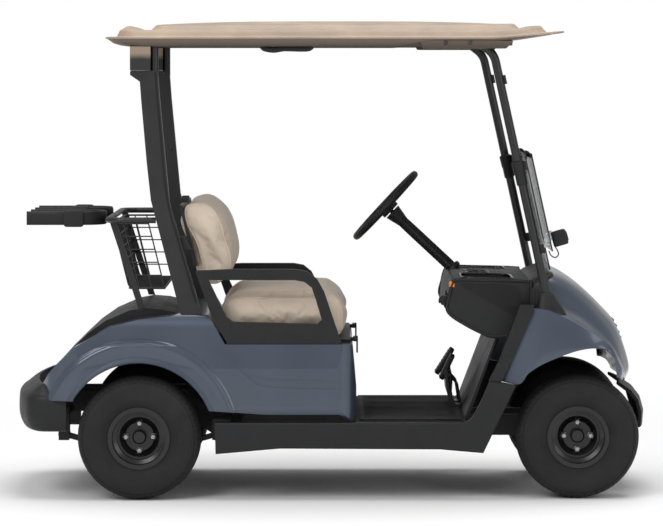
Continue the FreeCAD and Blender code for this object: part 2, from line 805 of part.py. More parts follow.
def tyre():
    """A carcass turned round the wheel's axis: bead, bulging wall and crown."""
    body = document.addObject("PartDesign::Body", "tyre_pattern")
    sketch = sketch_in(body, "front")
    half = dim.tyre_width / 2
    bead = dim.bead_width / 2
    tread = dim.tread_width / 2
    wall = dim.carcass_wall
    shoulder = (dim.tread_radius + dim.bulge_radius) / 2
    outer = [
        (bead, dim.bead_radius),
        (bead, dim.rim_lip_radius + dim.seat_gap),
        (half - wall * 0.3, dim.bulge_radius - wall * 2),
        (half, dim.bulge_radius),
        (half - wall * 0.3, shoulder + wall),
        (tread, dim.tread_radius),
        (tread * 0.5, dim.tyre_radius - wall * 0.1),
    ]
    inner = [
        (tread - wall, dim.tread_radius - wall),
        (half - wall, dim.bulge_radius),
        (bead - wall, dim.bead_radius),
    ]
    left = [(-across, up) for across, up in outer]
    left_inner = [(-across, up) for across, up in inner]
    corners = outer + [(0, dim.tyre_radius)] + left[::-1] + left_inner[::-1] + inner
    draw_outline(sketch, corners)
    revolve(body, sketch, "H_Axis")
    return body


def wheel():
    """A pressed rim with its stepped and dished disc, hub, cap and lug nuts."""
    body = document.addObject("PartDesign::Body", "wheel_pattern")
    lip = dim.bead_width / 2 + dim.seat_gap
    well = dim.rim_well_radius
    wall = dim.rim_wall
    bead = dim.bead_radius - dim.seat_gap
    disc = dim.disc_offset
    dish = disc - dim.disc_dish
    bore = dim.spindle_radius + dim.pin_clearance
    inner_hub = dish - dim.hub_length
    ring = dim.disc_ring_radius
    corners = [
        (lip + wall, dim.rim_lip_radius),
        (lip, dim.rim_lip_radius),
        (lip, bead),
        (lip * 0.6, bead),
        (lip * 0.5, well),
        (-lip * 0.5, well),
        (-lip * 0.6, bead),
        (-lip, bead),
        (-lip, dim.rim_lip_radius),
        (-lip - wall, dim.rim_lip_radius),
        (-lip - wall, bead - wall),
        (-lip * 0.6 - wall, bead - wall),
        (-lip * 0.5 - wall, well - wall),
        (disc - wall * 2, well - wall),
        (disc - wall * 2, ring),
        (disc - wall * 2 - dim.disc_ring_step, ring - dim.disc_ring_step),
        (dish - wall, dim.hub_radius + dim.lug_radius * 2),
        (dish - wall, dim.hub_radius),
        (inner_hub, dim.hub_radius),
        (inner_hub, bore),
        (dish + wall, bore),
        (dish + wall, 0),
        (dish + dim.hub_cap_length, 0),
        (dish + dim.hub_cap_length, dim.hub_cap_radius * 0.8),
        (dish + dim.hub_cap_length - wall, dim.hub_cap_radius),
        (dish, dim.hub_cap_radius),
        (dish, dim.hub_radius + dim.lug_radius * 2),
        (disc - dim.disc_ring_step, ring - dim.disc_ring_step),
        (disc, ring),
        (disc, well - wall),
        (lip * 0.5 + wall, well - wall),
        (lip * 0.6 + wall, bead - wall),
        (lip + wall, bead - wall),
    ]
    sketch = sketch_in(body, "front")
    draw_outline(sketch, corners)
    revolve(body, sketch, "H_Axis")
    lugs = sketch_in(body, "side")
    lugs.setExpression("AttachmentOffset.Base.z", (-dish).text)
    for index in range(LUG_COUNT):
        angle = math.radians(360.0 * index / LUG_COUNT)
        across = dim.lug_circle_radius * math.cos(angle)
        up = dim.lug_circle_radius * math.sin(angle)
        hexagon = []
        for corner in range(6):
            turn = math.radians(60.0 * corner)
            step = dim.lug_radius * math.cos(turn)
            hexagon.append((across + step, up + dim.lug_radius * math.sin(turn)))
        draw_outline(lugs, hexagon)
    pad(body, lugs, dim.lug_height * 2)
    return body


def wheels_and_tyres():
    """The four wheels, each with its tyre, on the two axle lines."""
    rear_x = dim.front_axle_x - dim.wheelbase
    left_wheel = wheel()
    right_wheel = document.addObject("Part::Mirroring", "wheel_pattern_right")
    right_wheel.Source = left_wheel
    right_wheel.Normal = vector(0, 1, 0)
    carcass = tyre()
    document.recompute()
    places = {
        "front_left": (left_wheel, dim.front_axle_x, dim.track_front / 2),
        "front_right": (right_wheel, dim.front_axle_x, -dim.track_front / 2),
        "rear_left": (left_wheel, rear_x, dim.track_rear / 2),
        "rear_right": (right_wheel, rear_x, -dim.track_rear / 2),
    }
    for name, (rim, x, y) in places.items():
        placed("wheel_" + name, rim, x, y, dim.tyre_radius)
        placed("tyre_" + name, carcass, x, y, dim.tyre_radius)


def chassis_frame():
    """Two kicked-up rails, cross members and outriggers, welded together."""
    top = dim.frame_top
    low = top - dim.rail_depth
    kick = dim.rail_kick_x
    high_x = kick - dim.kick_length
    rise = dim.kick_rise
    rail = [
        (dim.rail_front_x, low),
        (dim.rail_front_x, top),
        (kick, top),
        (high_x, top + rise),
        (dim.rail_rear_x, top + rise),
        (dim.rail_rear_x, low + rise),
        (high_x - dim.outrigger_depth * 0.5, low + rise),
        (kick - dim.outrigger_depth * 0.5, low),
    ]
    near = dim.rail_offset - dim.rail_width / 2
    far = dim.rail_offset + dim.rail_width / 2
    wall = dim.panel_wall
    shapes = [side_prism(rail, near, far), side_prism(rail, -far, -near)]
    nose = dim.nose_x - dim.bumper_depth * 0.13 - dim.bumper_reach_gap
    tongue_low = top - dim.outrigger_depth * 0.6
    for spans in ((near, far), (-far, -near)):
        shapes.append(box_between((dim.rail_front_x, spans[0], tongue_low), (nose, spans[1], top)))
    deep = dim.outrigger_depth
    wide = dim.outrigger_width
    reach = dim.sill_outer - dim.sill_depth - dim.seat_gap
    for place_x in (dim.outrigger_front_x, dim.outrigger_rear_x):
        shapes.append(box_between((place_x, -reach, top - deep), (place_x + wide, reach, top)))
    for place_x, base in ((dim.rail_front_x - wide, low), (dim.rail_rear_x, low + rise)):
        shapes.append(box_between((place_x, -near, base), (place_x + wide, near, base + deep)))
    axle_x = dim.front_axle_x - dim.wheelbase
    bar = top + rise
    shapes.append(box_between((axle_x - wide, -dim.leaf_y, bar - wall), (axle_x + wide, dim.leaf_y, bar + wall)))
    outer = dim.leaf_y + dim.leaf_width / 2 + wall * 2
    eye = dim.leaf_eye_z - dim.leaf_eye_radius
    rear_bar = dim.leaf_rear_x - wide / 2
    shapes.append(box_between((rear_bar, -outer, low + rise), (rear_bar + wide, outer, low + rise + deep * 0.8)))
    for side in (-1, 1):
        for edge in (dim.leaf_width / 2 + dim.seat_gap, -dim.leaf_width / 2 - dim.seat_gap - wall):
            spans = sorted((float(dim.leaf_y + edge) * side, float(dim.leaf_y + edge + wall) * side))
            front_eye = dim.leaf_front_x - wide / 2
            shapes.append(box_between((front_eye, spans[0], eye), (dim.outrigger_rear_x + wide, spans[1], top)))
            shapes.append(box_between((rear_bar, spans[0], eye), (rear_bar + wide, spans[1], low + rise + deep * 0.8)))
    return feature("chassis_frame", joined(shapes))


def plain_box(name, length, width, height):
    """A box whose three sizes are tied to the sheet."""
    item = document.addObject("Part::Box", name)
    for side, size in (("Length", length), ("Width", width), ("Height", height)):
        item.setExpression(side, size.text)
    return item


def floor_panel():
    """The floor sheet between the sills, with the raised field of its foot mat."""
    back = dim.floor_back
    half = dim.floor_half_width
    low = dim.frame_top + dim.seat_gap
    panel = plain_box("floor_sheet", dim.floor_front - back, half * 2, dim.floor_sheet)
    place(panel, back, -half, low)
    edge = dim.mat_edge_gap
    tall = dim.floor_sheet + dim.mat_height
    mat = plain_box("floor_mat", dim.pedal_back - edge - back - edge, (half - edge) * 2, tall)
    place(mat, back + edge, -half + edge, low)
    item = document.addObject("Part::Fuse", "floor_panel")
    item.Base = panel
    item.Tool = mat
    return keep(item, "floor_panel")


def toe_board():
    """The sloping sheet from the floor up to the dash's underside."""
    body = new_body("toe_board")
    sketch = sketch_in(body, "side")
    start = dim.floor_front + dim.seat_gap
    low = dim.frame_top + dim.seat_gap
    wide = dim.toe_sheet
    top_x = dim.dash_back + dim.dash_length * 0.6
    top_z = dim.dash_bottom - dim.seat_gap
    draw_outline(sketch, [
        (start, low),
        (start + wide, low),
        (top_x, top_z),
        (top_x - wide, top_z),
        (start, low + wide * 2),
    ])
    pad(body, sketch, dim.toe_half_width * 2)
    return body


def pair(label, half):
    """A sub-part of two like solids: one modelled on the right, and its mirror."""
    document.recompute()
    twin = document.addObject("Part::Mirroring", label + "_mirror")
    twin.Source = half
    twin.Normal = vector(0, 1, 0)
    both = document.addObject("Part::Compound", label)
    both.Links = [half, twin]
    return keep(both, label)


def sides(make):
    """Two like solids, one for each side, as one shape."""
    return Part.makeCompound([make(side) for side in (-1, 1)])


def sills():
    """The black side mouldings below the floor and up to the fenders."""
    body = document.addObject("PartDesign::Body", "sill_pattern")
    sketch = sketch_in(body, "side")
    span = (dim.sill_rise_length, dim.sill_height)
    front = spread(SILL_FRONT_SHARES, (dim.sill_front - dim.sill_rise_length, dim.sill_bottom), span)
    back = spread(SILL_BACK_SHARES, (dim.sill_back, dim.sill_bottom), span)
    draw_outline(sketch, front + back)
    solid = pad(body, sketch, dim.sill_depth)
    long_edge = float(dim.sill_front - dim.sill_back) * 0.2
    round_edges(body, solid, lambda edge: edge.Length > long_edge, dim.sill_depth * 0.2)
    place(body, 0, -(dim.sill_outer - dim.sill_depth / 2), 0)
    pair("sills", body)


def pillars():
    """The black bands between the dash and the front fenders."""
    body = document.addObject("PartDesign::Body", "pillar_pattern")
    sketch = sketch_in(body, "side")
    low = (dim.sill_front - dim.sill_rise_length * 0.52, dim.sill_bottom + dim.sill_height)
    draw_outline(sketch, spread(PILLAR_SHARES, low, (dim.pillar_length, dim.pillar_height)))
    pad(body, sketch, dim.pillar_depth)
    place(body, -dim.seat_gap * 3, -(dim.pillar_outer - dim.pillar_depth / 2), dim.seat_gap)
    pair("pillars", body)


def cowl_form(inset):
    """The cowl's outside, or its inside when inset by the wall."""
    low = (dim.cowl_back, dim.cowl_bottom)
    side = rounded_face("side", spread(COWL_SIDE_SHARES, low, (dim.cowl_length, dim.cowl_height)))
    half = dim.body_half_width
    nose = dim.cowl_back + dim.cowl_length
    corner = dim.cowl_nose_corner
    plan = [
        (dim.cowl_back - dim.overrun, half),
        (nose - corner, half),
        (nose - corner * 0.45, half - corner * 0.4),
        (nose - corner * 0.1, half - corner * 1.1),
        (nose + corner * 0.1, half * 0.1),
    ]
    top = dim.cowl_bottom + dim.cowl_height
    drop = dim.cowl_shoulder_drop
    front = [
        (half + drop * 0.04, dim.cowl_bottom - dim.overrun),
        (half + drop * 0.04, top - drop * 1.5),
        (half - drop * 0.35, top - drop),
        (half - dim.cowl_shoulder_inset, top - drop * 0.6),
        (half * 0.45, top - drop * 0.05),
        (half * 0.2, top + drop * 0.1),
    ]
    if inset:
        side = side.makeOffset2D(-float(inset))
    width = float(half) + float(dim.overrun)
    side.translate(vector(0, -width, 0))
    solid = side.extrude(vector(0, width * 2, 0))
    plan_face = rounded_face("plan", both_sides(plan), corner, dim.cowl_bottom - dim.overrun)
    front_face = rounded_face("front", both_sides(front, "front"), drop * 0.8, dim.cowl_back - dim.overrun)
    if inset:
        plan_face = plan_face.makeOffset2D(-float(inset))
        front_face = front_face.makeOffset2D(-float(inset))
    plan_solid = plan_face.extrude(vector(0, 0, dim.cowl_height + dim.overrun * 3))
    front_solid = front_face.extrude(vector(dim.cowl_length + dim.overrun * 3, 0, 0))
    return solid.common(plan_solid).common(front_solid)


def steer_rooms(angle):
    """The space that each front tyre needs when its front edge is turned inward."""
    rooms = []
    x = dim.front_axle_x
    z = dim.tyre_radius
    half = dim.tread_width / 2 + dim.steer_gap
    for side in (-1, 1):
        y = dim.track_front / 2 * side
        room = rod((x, y - half, z), (x, y + half, z), dim.tyre_radius + dim.steer_gap)
        room.rotate(vector(x, dim.kingpin_y * side, z), vector(0, 0, 1), -angle * side)
        rooms.append(room)
    return rooms


def front_cowl():
    """The hollow nose with its fenders, open below and towards the dash."""
    wall = dim.panel_wall
    outside = cowl_form(0)
    inside = cowl_form(wall)
    shape = outside.cut(inside)
    for drop_share in COWL_OPENING_SHARES:
        shape = shape.cut(inside.translated(vector(0, 0, -dim.cowl_height * drop_share)))
    foot = front_strut_point(-dim.front_strut_foot_length)
    knee = front_strut_point(dim.front_strut_length)
    for side in (-1, 1):
        y = dim.front_strut_y * side
        hole = dim.front_strut_radius + dim.seat_gap
        shape = shape.cut(rod((foot[0], y, foot[1]), (knee[0], y, knee[1]), hole))
    for room in steer_rooms(STEER_LIMIT) + steer_rooms(0):
        shape = shape.cut(room)
    return feature("front_cowl", shape)


def front_bumper():
    """A moulded channel swept round the nose between the front wheels."""
    low = (dim.nose_x - dim.bumper_depth, dim.cowl_bottom - dim.bumper_height)
    section = spread(BUMPER_SHARES, low, (dim.bumper_depth, dim.bumper_height))
    face = rounded_face("side", section, dim.bumper_wall * 0.4)
    centre = vector(dim.nose_x - dim.bumper_sweep_radius, 0, 0)
    angle = math.degrees(math.asin(float(dim.bumper_half_width) / float(dim.bumper_sweep_radius)))
    face.rotate(centre, vector(0, 0, 1), -angle)
    return feature("front_bumper", face.revolve(centre, vector(0, 0, 1), angle * 2))


def column_ends():
    """The steering column's upper end and its end inside the dash."""
    angle = math.radians(float(dim.steer_angle))
    top = (dim.steer_x, dim.steer_y, dim.steer_z)
    hub = dim.steer_hub_height * 0.5 + dim.wheel_gap
    start = (top[0] + hub * math.cos(angle), top[1], top[2] - hub * math.sin(angle))
    reach = dim.column_length
    end = (top[0] + reach * math.cos(angle), top[1], top[2] - reach * math.sin(angle))
    return start, end


def dash():
    """The hollow dash with its cups, glove pocket and column hole."""
    low = (dim.dash_back, dim.dash_bottom)
    corners = spread(DASH_SHARES, low, (dim.dash_length, dim.dash_height))
    wall = dim.dash_wall
    half = dim.dash_half_width
    outside = side_prism(corners, -half, half, dim.dash_round)
    face = rounded_face("side", corners, dim.dash_round, -half + wall)
    inside = face.makeOffset2D(-float(wall)).extrude(vector(0, (half - wall) * 2, 0))
    open_front = inside.translated(vector(dim.overrun, 0, 0))
    shape = outside.cut(inside).cut(open_front)
    top = dim.dash_bottom + dim.dash_height
    additions = []
    removals = []
    for side in (-1, 1):
        base = (dim.cup_x, dim.cup_inner_y * side, top - dim.cup_depth)
        over = (dim.cup_x, dim.cup_inner_y * side, top + dim.overrun)
        floor = (dim.cup_x, dim.cup_inner_y * side, top - dim.cup_depth - wall)
        additions.append(rod(floor, over, dim.cup_radius + wall))
        removals.append(rod(base, over, dim.cup_radius))
    pocket_top = top - dim.pocket_drop
    pocket_y = -half + dim.pocket_inset
    deep = dim.dash_back + dim.pocket_depth
    inner = ((dim.dash_back - dim.overrun, pocket_y, pocket_top - dim.pocket_height),
             (deep, pocket_y + dim.pocket_width, pocket_top))
    outer = ((dim.dash_back - dim.overrun, pocket_y - wall, pocket_top - dim.pocket_height - wall),
             (deep + wall, pocket_y + dim.pocket_width + wall, pocket_top + wall))
    additions.append(box_between(*outer))
    removals.append(box_between(*inner))
    tray_x = (dim.dash_back + dim.tray_inset, dim.dash_back + dim.tray_inset + dim.tray_length)
    tray_low = top - dim.tray_depth
    for near, far in ((dim.tray_side_gap - half, -dim.steer_y * 0.5), (dim.steer_y * 1.2, half - dim.tray_side_gap)):
        additions.append(box_between(
            (tray_x[0] - wall, near - wall, tray_low - wall),
            (tray_x[1] + wall, far + wall, top + dim.overrun),
        ))
        removals.append(box_between((tray_x[0], near, tray_low), (tray_x[1], far, top + dim.overrun)))
    shape = shape.multiFuse([item.common(outside) for item in additions])
    start, end = column_ends()
    removals.append(rod(start, end, dim.column_radius + dim.seat_gap))
    for item in removals:
        shape = shape.cut(item)
    return feature("dash", shape)


def rear_form(inset, flare=0):
    """The rear body's outside, its inside when inset, or its flared width."""
    low = (dim.rear_tail, dim.rear_bottom)
    span = (dim.riser_x - dim.rear_tail, dim.rear_height)
    half = dim.body_half_width
    tail = dim.rear_tail
    nose = dim.seat_base_front
    outline = [
        (nose, dim.rear_bottom),
        (nose, dim.rear_bottom + dim.rear_height * 0.305),
        (nose - dim.seat_base_lean, dim.seat_top_z),
    ] + spread(REAR_SIDE_SHARES, low, span)
    side = rounded_face("side", outline, dim.rear_round, -half - dim.overrun)
    plan = both_sides([
        (nose, half),
        (tail + dim.tail_corner, half),
        (tail + dim.tail_corner * 0.35, half - dim.tail_corner * 0.2),
        (tail, half - dim.tail_corner),
        (tail - dim.overrun, half * 0.1),
    ])
    base = dim.rear_bottom - dim.overrun
    top = dim.rear_bottom + dim.rear_height + dim.overrun
    front = both_sides([
        (half, base),
        (half, dim.rear_bottom + dim.rear_height * 0.5),
        (half - dim.shoulder_tuck, top),
    ], "front")
    plan_face = rounded_face("plan", plan, dim.rear_corner, base)
    front_face = rounded_face("front", front, dim.rear_corner, tail - dim.overrun)
    if inset:
        side = side.makeOffset2D(-float(inset))
    if inset or flare:
        outward = float(flare) - float(inset)
        plan_face = plan_face.makeOffset2D(outward)
        front_face = front_face.makeOffset2D(outward)
    across = side.extrude(vector(0, (half + dim.overrun) * 2, 0))
    upward = plan_face.extrude(vector(0, 0, dim.rear_height + dim.overrun * 2))
    along = front_face.extrude(vector(nose - tail + dim.overrun * 2, 0, 0))
    return across.common(upward).common(along)


def rear_arch():
    """The space that the rear wheels need, right across the body."""
    axle_x = dim.front_axle_x - dim.wheelbase
    half = dim.body_half_width + dim.overrun
    return rod((axle_x, -half, dim.tyre_radius), (axle_x, half, dim.tyre_radius), dim.arch_radius)


def swoosh():
    """The shallow swept recess along each side of the seat base."""
    half = dim.body_half_width
    low = (dim.swoosh_back, dim.swoosh_low)
    corners = spread(SWOOSH_SHARES, low, (dim.swoosh_length, dim.swoosh_height))
    cutters = []
    for side in (-1, 1):
        spans = sorted((float(half - dim.swoosh_depth) * side, float(half + dim.overrun) * side))
        cutters.append(side_prism(corners, spans[0], spans[1]))
    return Part.makeCompound(cutters)


def rear_body():
    """The hollow seat base and flared rear fenders, cut for the wheels and battery bay."""
    outside = rear_form(0)
    inside = rear_form(dim.panel_wall)
    axle = (dim.rear_axle_x, dim.tyre_radius)
    reach_y = dim.body_half_width + dim.overrun
    ring = rod((axle[0], -reach_y, axle[1]), (axle[0], reach_y, axle[1]), dim.flare_radius)
    flares = rear_form(0, dim.flare_stand).common(ring)
    shape = outside.fuse(flares).cut(inside).cut(inside.translated(vector(0, 0, -dim.overrun)))
    shape = shape.cut(swoosh())
    top = dim.rear_bottom + dim.rear_height + dim.overrun
    bay = box_between(
        (dim.bay_back, -dim.bay_half_width, dim.seat_top_z - dim.overrun),
        (dim.bay_front, dim.bay_half_width, dim.seat_top_z + dim.overrun),
    )
    reach = dim.deck_half_width + dim.seat_gap
    deck_front = dim.deck_tail + dim.deck_length + dim.seat_gap
    deck_space = box_between(
        (dim.rear_tail - dim.overrun, -reach, dim.rear_bottom + dim.overrun),
        (deck_front, reach, top),
    )
    return feature("rear_body", shape.cut(rear_arch()).cut(bay).cut(deck_space))


def rear_deck():
    """The black bag deck that closes the body behind the seat."""
    low = (dim.deck_tail, dim.deck_low)
    corners = spread(DECK_SHARES, low, (dim.deck_length, dim.deck_rise))
    corners.append((dim.deck_tail + dim.deck_length, dim.deck_low))
    half = dim.deck_half_width
    wall = dim.deck_wall
    outside = side_prism(corners, -half, half, dim.deck_round)
    face = rounded_face("side", corners, dim.deck_round, -half + wall)
    inside = face.makeOffset2D(-float(wall)).extrude(vector(0, (half - wall) * 2, 0))
    below = inside.translated(vector(0, 0, -dim.overrun))
    return feature("rear_deck", outside.cut(inside).cut(below).cut(rear_arch()))


def rear_bumper():
    """The black tail moulding: a hollow band with a sloped centre."""
    back = dim.tail_x
    front = back + dim.tail_bumper_reach
    half = dim.tail_bumper_half_width
    low = dim.tail_bumper_low
    high = low + dim.tail_bumper_height
    wall = dim.tail_bumper_wall
    corner = dim.tail_bumper_corner
    outline = both_sides([
        (front, half),
        (back + corner * 0.5, half),
        (back, half - corner * 0.6),
        (back, half * 0.1),
    ])
    outside = rounded_face("plan", outline, corner * 0.5, low).extrude(vector(0, 0, high - low))
    inner_face = rounded_face("plan", outline, corner * 0.5, low).makeOffset2D(-float(wall))
    inside = inner_face.extrude(vector(0, 0, high - low - wall))
    shape = outside.cut(inside).cut(inside.translated(vector(0, 0, -dim.overrun)))
    shape = shape.cut(inside.translated(vector(dim.overrun, 0, 0)))
    rail_space = dim.rail_offset + dim.rail_width
    gap = box_between(
        (back + dim.tail_bumper_reach * 0.4, -rail_space, low - dim.overrun),
        (front + dim.overrun, rail_space, high + dim.overrun),
    )
    shape = shape.cut(gap)
    slope = [
        (back + wall, high - wall),
        (dim.rear_tail, high + dim.slope_rise * 0.5),
        (dim.deck_tail - dim.seat_gap, dim.deck_low),
        (dim.deck_tail - dim.seat_gap, dim.deck_low - wall * 2),
        (dim.rear_tail + wall, high + dim.slope_rise * 0.5 - wall),
        (back + wall * 3, high - wall),
    ]
    apron = side_prism(slope, -dim.deck_half_width, dim.deck_half_width)
    return feature("rear_bumper", joined([shape, apron]))


def battery_pack():
    """The battery bank, as one plain block on the frame rails."""
    item = plain_box("battery_pack", dim.battery_length, dim.battery_half_width * 2, dim.battery_height)
    place(item, dim.battery_back, -dim.battery_half_width, dim.frame_top + dim.seat_gap)
    return keep(item, "battery_pack")


def leaf_middle_z():
    """Height of the leaf spring's middle line under the axle."""
    return dim.leaf_eye_z - dim.leaf_sag


def rear_axle():
    """Axle tubes, gear case, motor and the stubs that the rear hubs turn on."""
    x = dim.front_axle_x - dim.wheelbase
    z = dim.tyre_radius
    reach = dim.track_rear / 2
    inner_hub = reach + dim.disc_offset - dim.disc_dish - dim.hub_length
    tube = inner_hub - dim.wheel_gap
    shapes = [rod((x, -tube, z), (x, tube, z), dim.axle_tube_radius)]
    for side in (-1, 1):
        stub = reach + dim.disc_offset - dim.disc_dish
        shapes.append(rod((x, tube * side, z), (x, stub * side, z), dim.spindle_radius))
        drum = tube - dim.brake_drum_width
        shapes.append(rod((x, drum * side, z), (x, tube * side, z), dim.brake_drum_radius))
        perch_y = dim.leaf_y * side
        low = leaf_middle_z() + dim.leaf_thickness / 2 + dim.seat_gap * 3
        half_x = dim.axle_tube_radius
        half_y = dim.leaf_width / 2
        shapes.append(box_between((x - half_x, perch_y - half_y, low), (x + half_x, perch_y + half_y, z)))
    case_near = dim.diff_offset - dim.diff_width / 2
    case_far = dim.diff_offset + dim.diff_width / 2
    shapes.append(rod((x, case_near, z), (x, case_far, z), dim.diff_radius))
    motor_x = x - dim.motor_back
    motor_z = z - dim.motor_drop
    shapes.append(rod((motor_x, case_near, motor_z), (motor_x, case_far, motor_z), dim.motor_radius * 0.9))
    motor_end = case_far + dim.motor_length
    shapes.append(rod((motor_x, case_far, motor_z), (motor_x, motor_end, motor_z), dim.motor_radius))
    return feature("rear_axle", joined(shapes))


def leaf_springs():
    """A curved leaf on each side, with an eye at each end."""
    mid_x = (dim.leaf_front_x + dim.leaf_rear_x) / 2
    half = dim.leaf_thickness / 2
    mid_z = leaf_middle_z()
    shapes = []
    for side in (-1, 1):
        near = dim.leaf_y * side - dim.leaf_width / 2
        edges = []
        arcs = []
        for step in (half, -half):
            start = vector(dim.leaf_front_x, near, dim.leaf_eye_z + step)
            middle = vector(mid_x, near, mid_z + step)
            end = vector(dim.leaf_rear_x, near, dim.leaf_eye_z + step)
            arcs.append((start, end))
            edges.append(Part.Arc(start, middle, end).toShape())
        edges.append(Part.LineSegment(arcs[0][0], arcs[1][0]).toShape())
        edges.append(Part.LineSegment(arcs[0][1], arcs[1][1]).toShape())
        face = Part.Face(Part.Wire(Part.__sortEdges__(edges)))
        leaf = face.extrude(vector(0, dim.leaf_width, 0))
        pieces = [leaf]
        for eye_x in (dim.leaf_front_x, dim.leaf_rear_x):
            far = near + dim.leaf_width
            pieces.append(rod((eye_x, near, dim.leaf_eye_z), (eye_x, far, dim.leaf_eye_z), dim.leaf_eye_radius))
        shapes.append(joined(pieces))
    return feature("leaf_springs", Part.makeCompound(shapes))


def dampers():
    """A short upright damper above each end of the rear axle tube."""
    x = dim.front_axle_x - dim.wheelbase
    low = dim.tyre_radius + dim.axle_tube_radius
    high = dim.frame_top + dim.kick_rise - dim.panel_wall - dim.seat_gap
    middle = (low + high) / 2
    shapes = []
    for side in (-1, 1):
        y = dim.damper_y * side
        lower = rod((x, y, low + dim.seat_gap), (x, y, middle), dim.damper_radius)
        upper = rod((x, y, middle), (x, y, high), dim.damper_radius * 0.8)
        shapes.append(joined([lower, upper]))
    return feature("dampers", Part.makeCompound(shapes))


def front_axle():
    """The beam across the rails, with a fork and pin at each end."""
    x = dim.front_axle_x
    z = dim.tyre_radius
    half_x = dim.beam_half_length
    web = dim.kingpin_y - dim.fork_reach
    boss = dim.knuckle_half_height + dim.fork_gap
    outer = boss + dim.fork_thickness
    beam_half = dim.beam_half_height
    shapes = [box_between((x - half_x, -web, z - beam_half), (x + half_x, web, z + beam_half))]
    for side in (-1, 1):
        end = dim.kingpin_y + dim.kingpin_radius * 1.6
        start = web - dim.fork_thickness
        lows = sorted((float(start) * side, float(web) * side))
        shapes.append(box_between((x - half_x, lows[0], z - outer), (x + half_x, lows[1], z + outer)))
        spans = sorted((float(start) * side, float(end) * side))
        for level in (boss, -outer):
            low = z + level
            half_fork = half_x * 0.75
            shapes.append(box_between(
                (x - half_fork, spans[0], low),
                (x + half_fork, spans[1], low + dim.fork_thickness),
            ))
        pin_y = dim.kingpin_y * side
        pin = dim.kingpin_half_height
        shapes.append(rod((x, pin_y, z - pin), (x, pin_y, z + pin), dim.kingpin_radius))
    near = dim.rail_offset - dim.rail_width / 2
    far = dim.rail_offset + dim.rail_width / 2
    low = dim.rail_low - dim.seat_gap
    cheek = dim.panel_wall
    for side in (-1, 1):
        spans = sorted((float(near - cheek) * side, float(far + cheek) * side))
        shapes.append(box_between(
            (x - half_x, spans[0], z - beam_half),
            (x + half_x, spans[1], dim.rail_low + dim.beam_seat_height),
        ))
    shape = joined(shapes)
    for side in (-1, 1):
        spans = sorted((float(near - dim.seat_gap) * side, float(far + dim.seat_gap) * side))
        slot = box_between((x - half_x * 2, spans[0], low), (x + half_x * 2, spans[1], z + outer))
        shape = shape.cut(slot)
    return feature("front_axle", shape)


def tie_rod_level():
    """Height of the tie rod's middle line, under the steering arms."""
    arm_low = dim.tyre_radius - dim.knuckle_half_height
    return arm_low - dim.tie_rod_radius * 1.5


def knuckle(label):
    """The boss on the king pin, with its spindle, arm and tie rod pin."""
    x = dim.front_axle_x
    z = dim.tyre_radius
    y = dim.kingpin_y
    tall = dim.knuckle_half_height
    boss = rod((x, y, z - tall), (x, y, z + tall), dim.knuckle_boss_radius)
    stub = dim.track_front / 2 + dim.disc_offset - dim.disc_dish
    spindle = rod((x, y, z), (x, stub, z), dim.spindle_radius)
    arm_end = (x - dim.steer_arm_length, y)
    thick = dim.fork_thickness * 0.8
    wide = dim.tie_rod_radius * 1.2
    arm = plan_prism([
        (x, y + wide), (x, y - wide),
        (arm_end[0] - wide, arm_end[1] - wide), (arm_end[0] - wide, arm_end[1] + wide),
    ], z - tall, z - tall + thick)
    pin = rod(
        (arm_end[0], arm_end[1], z - tall + thick),
        (arm_end[0], arm_end[1], tie_rod_level() - dim.tie_rod_radius),
        dim.tie_pin_radius,
    )
    shape = joined([boss, spindle, arm, pin])
    bore = rod((x, y, z - tall * 2), (x, y, z + tall * 2), dim.kingpin_radius + dim.pin_clearance)
    return feature(label, shape.cut(bore))


def tie_rod():
    """The bar between the steering arms, with an eye round each pin."""
    x = dim.front_axle_x - dim.steer_arm_length
    y = dim.kingpin_y
    z = tie_rod_level()
    tall = dim.tie_rod_radius
    shapes = [rod((x, -y, z), (x, y, z), tall * 0.9)]
    for side in (-1, 1):
        shapes.append(rod((x, y * side, z - tall), (x, y * side, z + tall), tall * 1.6))
    shape = joined(shapes)
    for side, clearance in ((-1, dim.open_pin_clearance), (1, dim.pin_clearance)):
        hole = dim.tie_pin_radius + clearance
        shape = shape.cut(rod((x, y * side, z - tall * 2), (x, y * side, z + tall * 2), hole))
    return feature("tie_rod", shape)


def steering_column():
    """The round column from the wheel's hub down into the dash."""
    start, end = column_ends()
    centre = (dim.steer_x, dim.steer_y, dim.steer_z)
    shaft = rod(centre, end, dim.steer_shaft_radius)
    line = vector(*end) - vector(*start)
    head = Part.makeCone(
        float(dim.column_head_radius), float(dim.column_radius), float(dim.column_head_length),
        vector(*start), line,
    )
    return feature("steering_column", joined([rod(start, end, dim.column_radius), head, shaft]))


def steering_wheel():
    """Rim, three spokes and hub, built flat and tilted onto the column."""
    ring = Part.makeTorus(float(dim.steer_rim_radius), float(dim.steer_grip_radius))
    hub_half = dim.steer_hub_height / 2
    hub = rod((0, 0, -hub_half), (0, 0, hub_half * 0.5), dim.steer_hub_radius)
    bore = rod((0, 0, -hub_half), (0, 0, dim.pin_clearance), dim.steer_shaft_radius + dim.pin_clearance)
    shapes = [ring, hub]
    thick = dim.steer_spoke_sheet / 2
    wide = dim.steer_spoke_width / 2
    for turn in SPOKE_TURNS:
        spoke = box_between((0, -wide, -thick), (dim.steer_rim_radius, wide, thick))
        spoke.rotate(vector(0, 0, 0), vector(0, 0, 1), turn)
        shapes.append(spoke)
    shape = joined(shapes).cut(bore)
    shape.rotate(vector(0, 0, 0), vector(0, 1, 0), float(dim.steer_angle) - 90.0)
    shape.translate(vector(dim.steer_x, dim.steer_y, dim.steer_z))
    return feature("steering_wheel", shape)


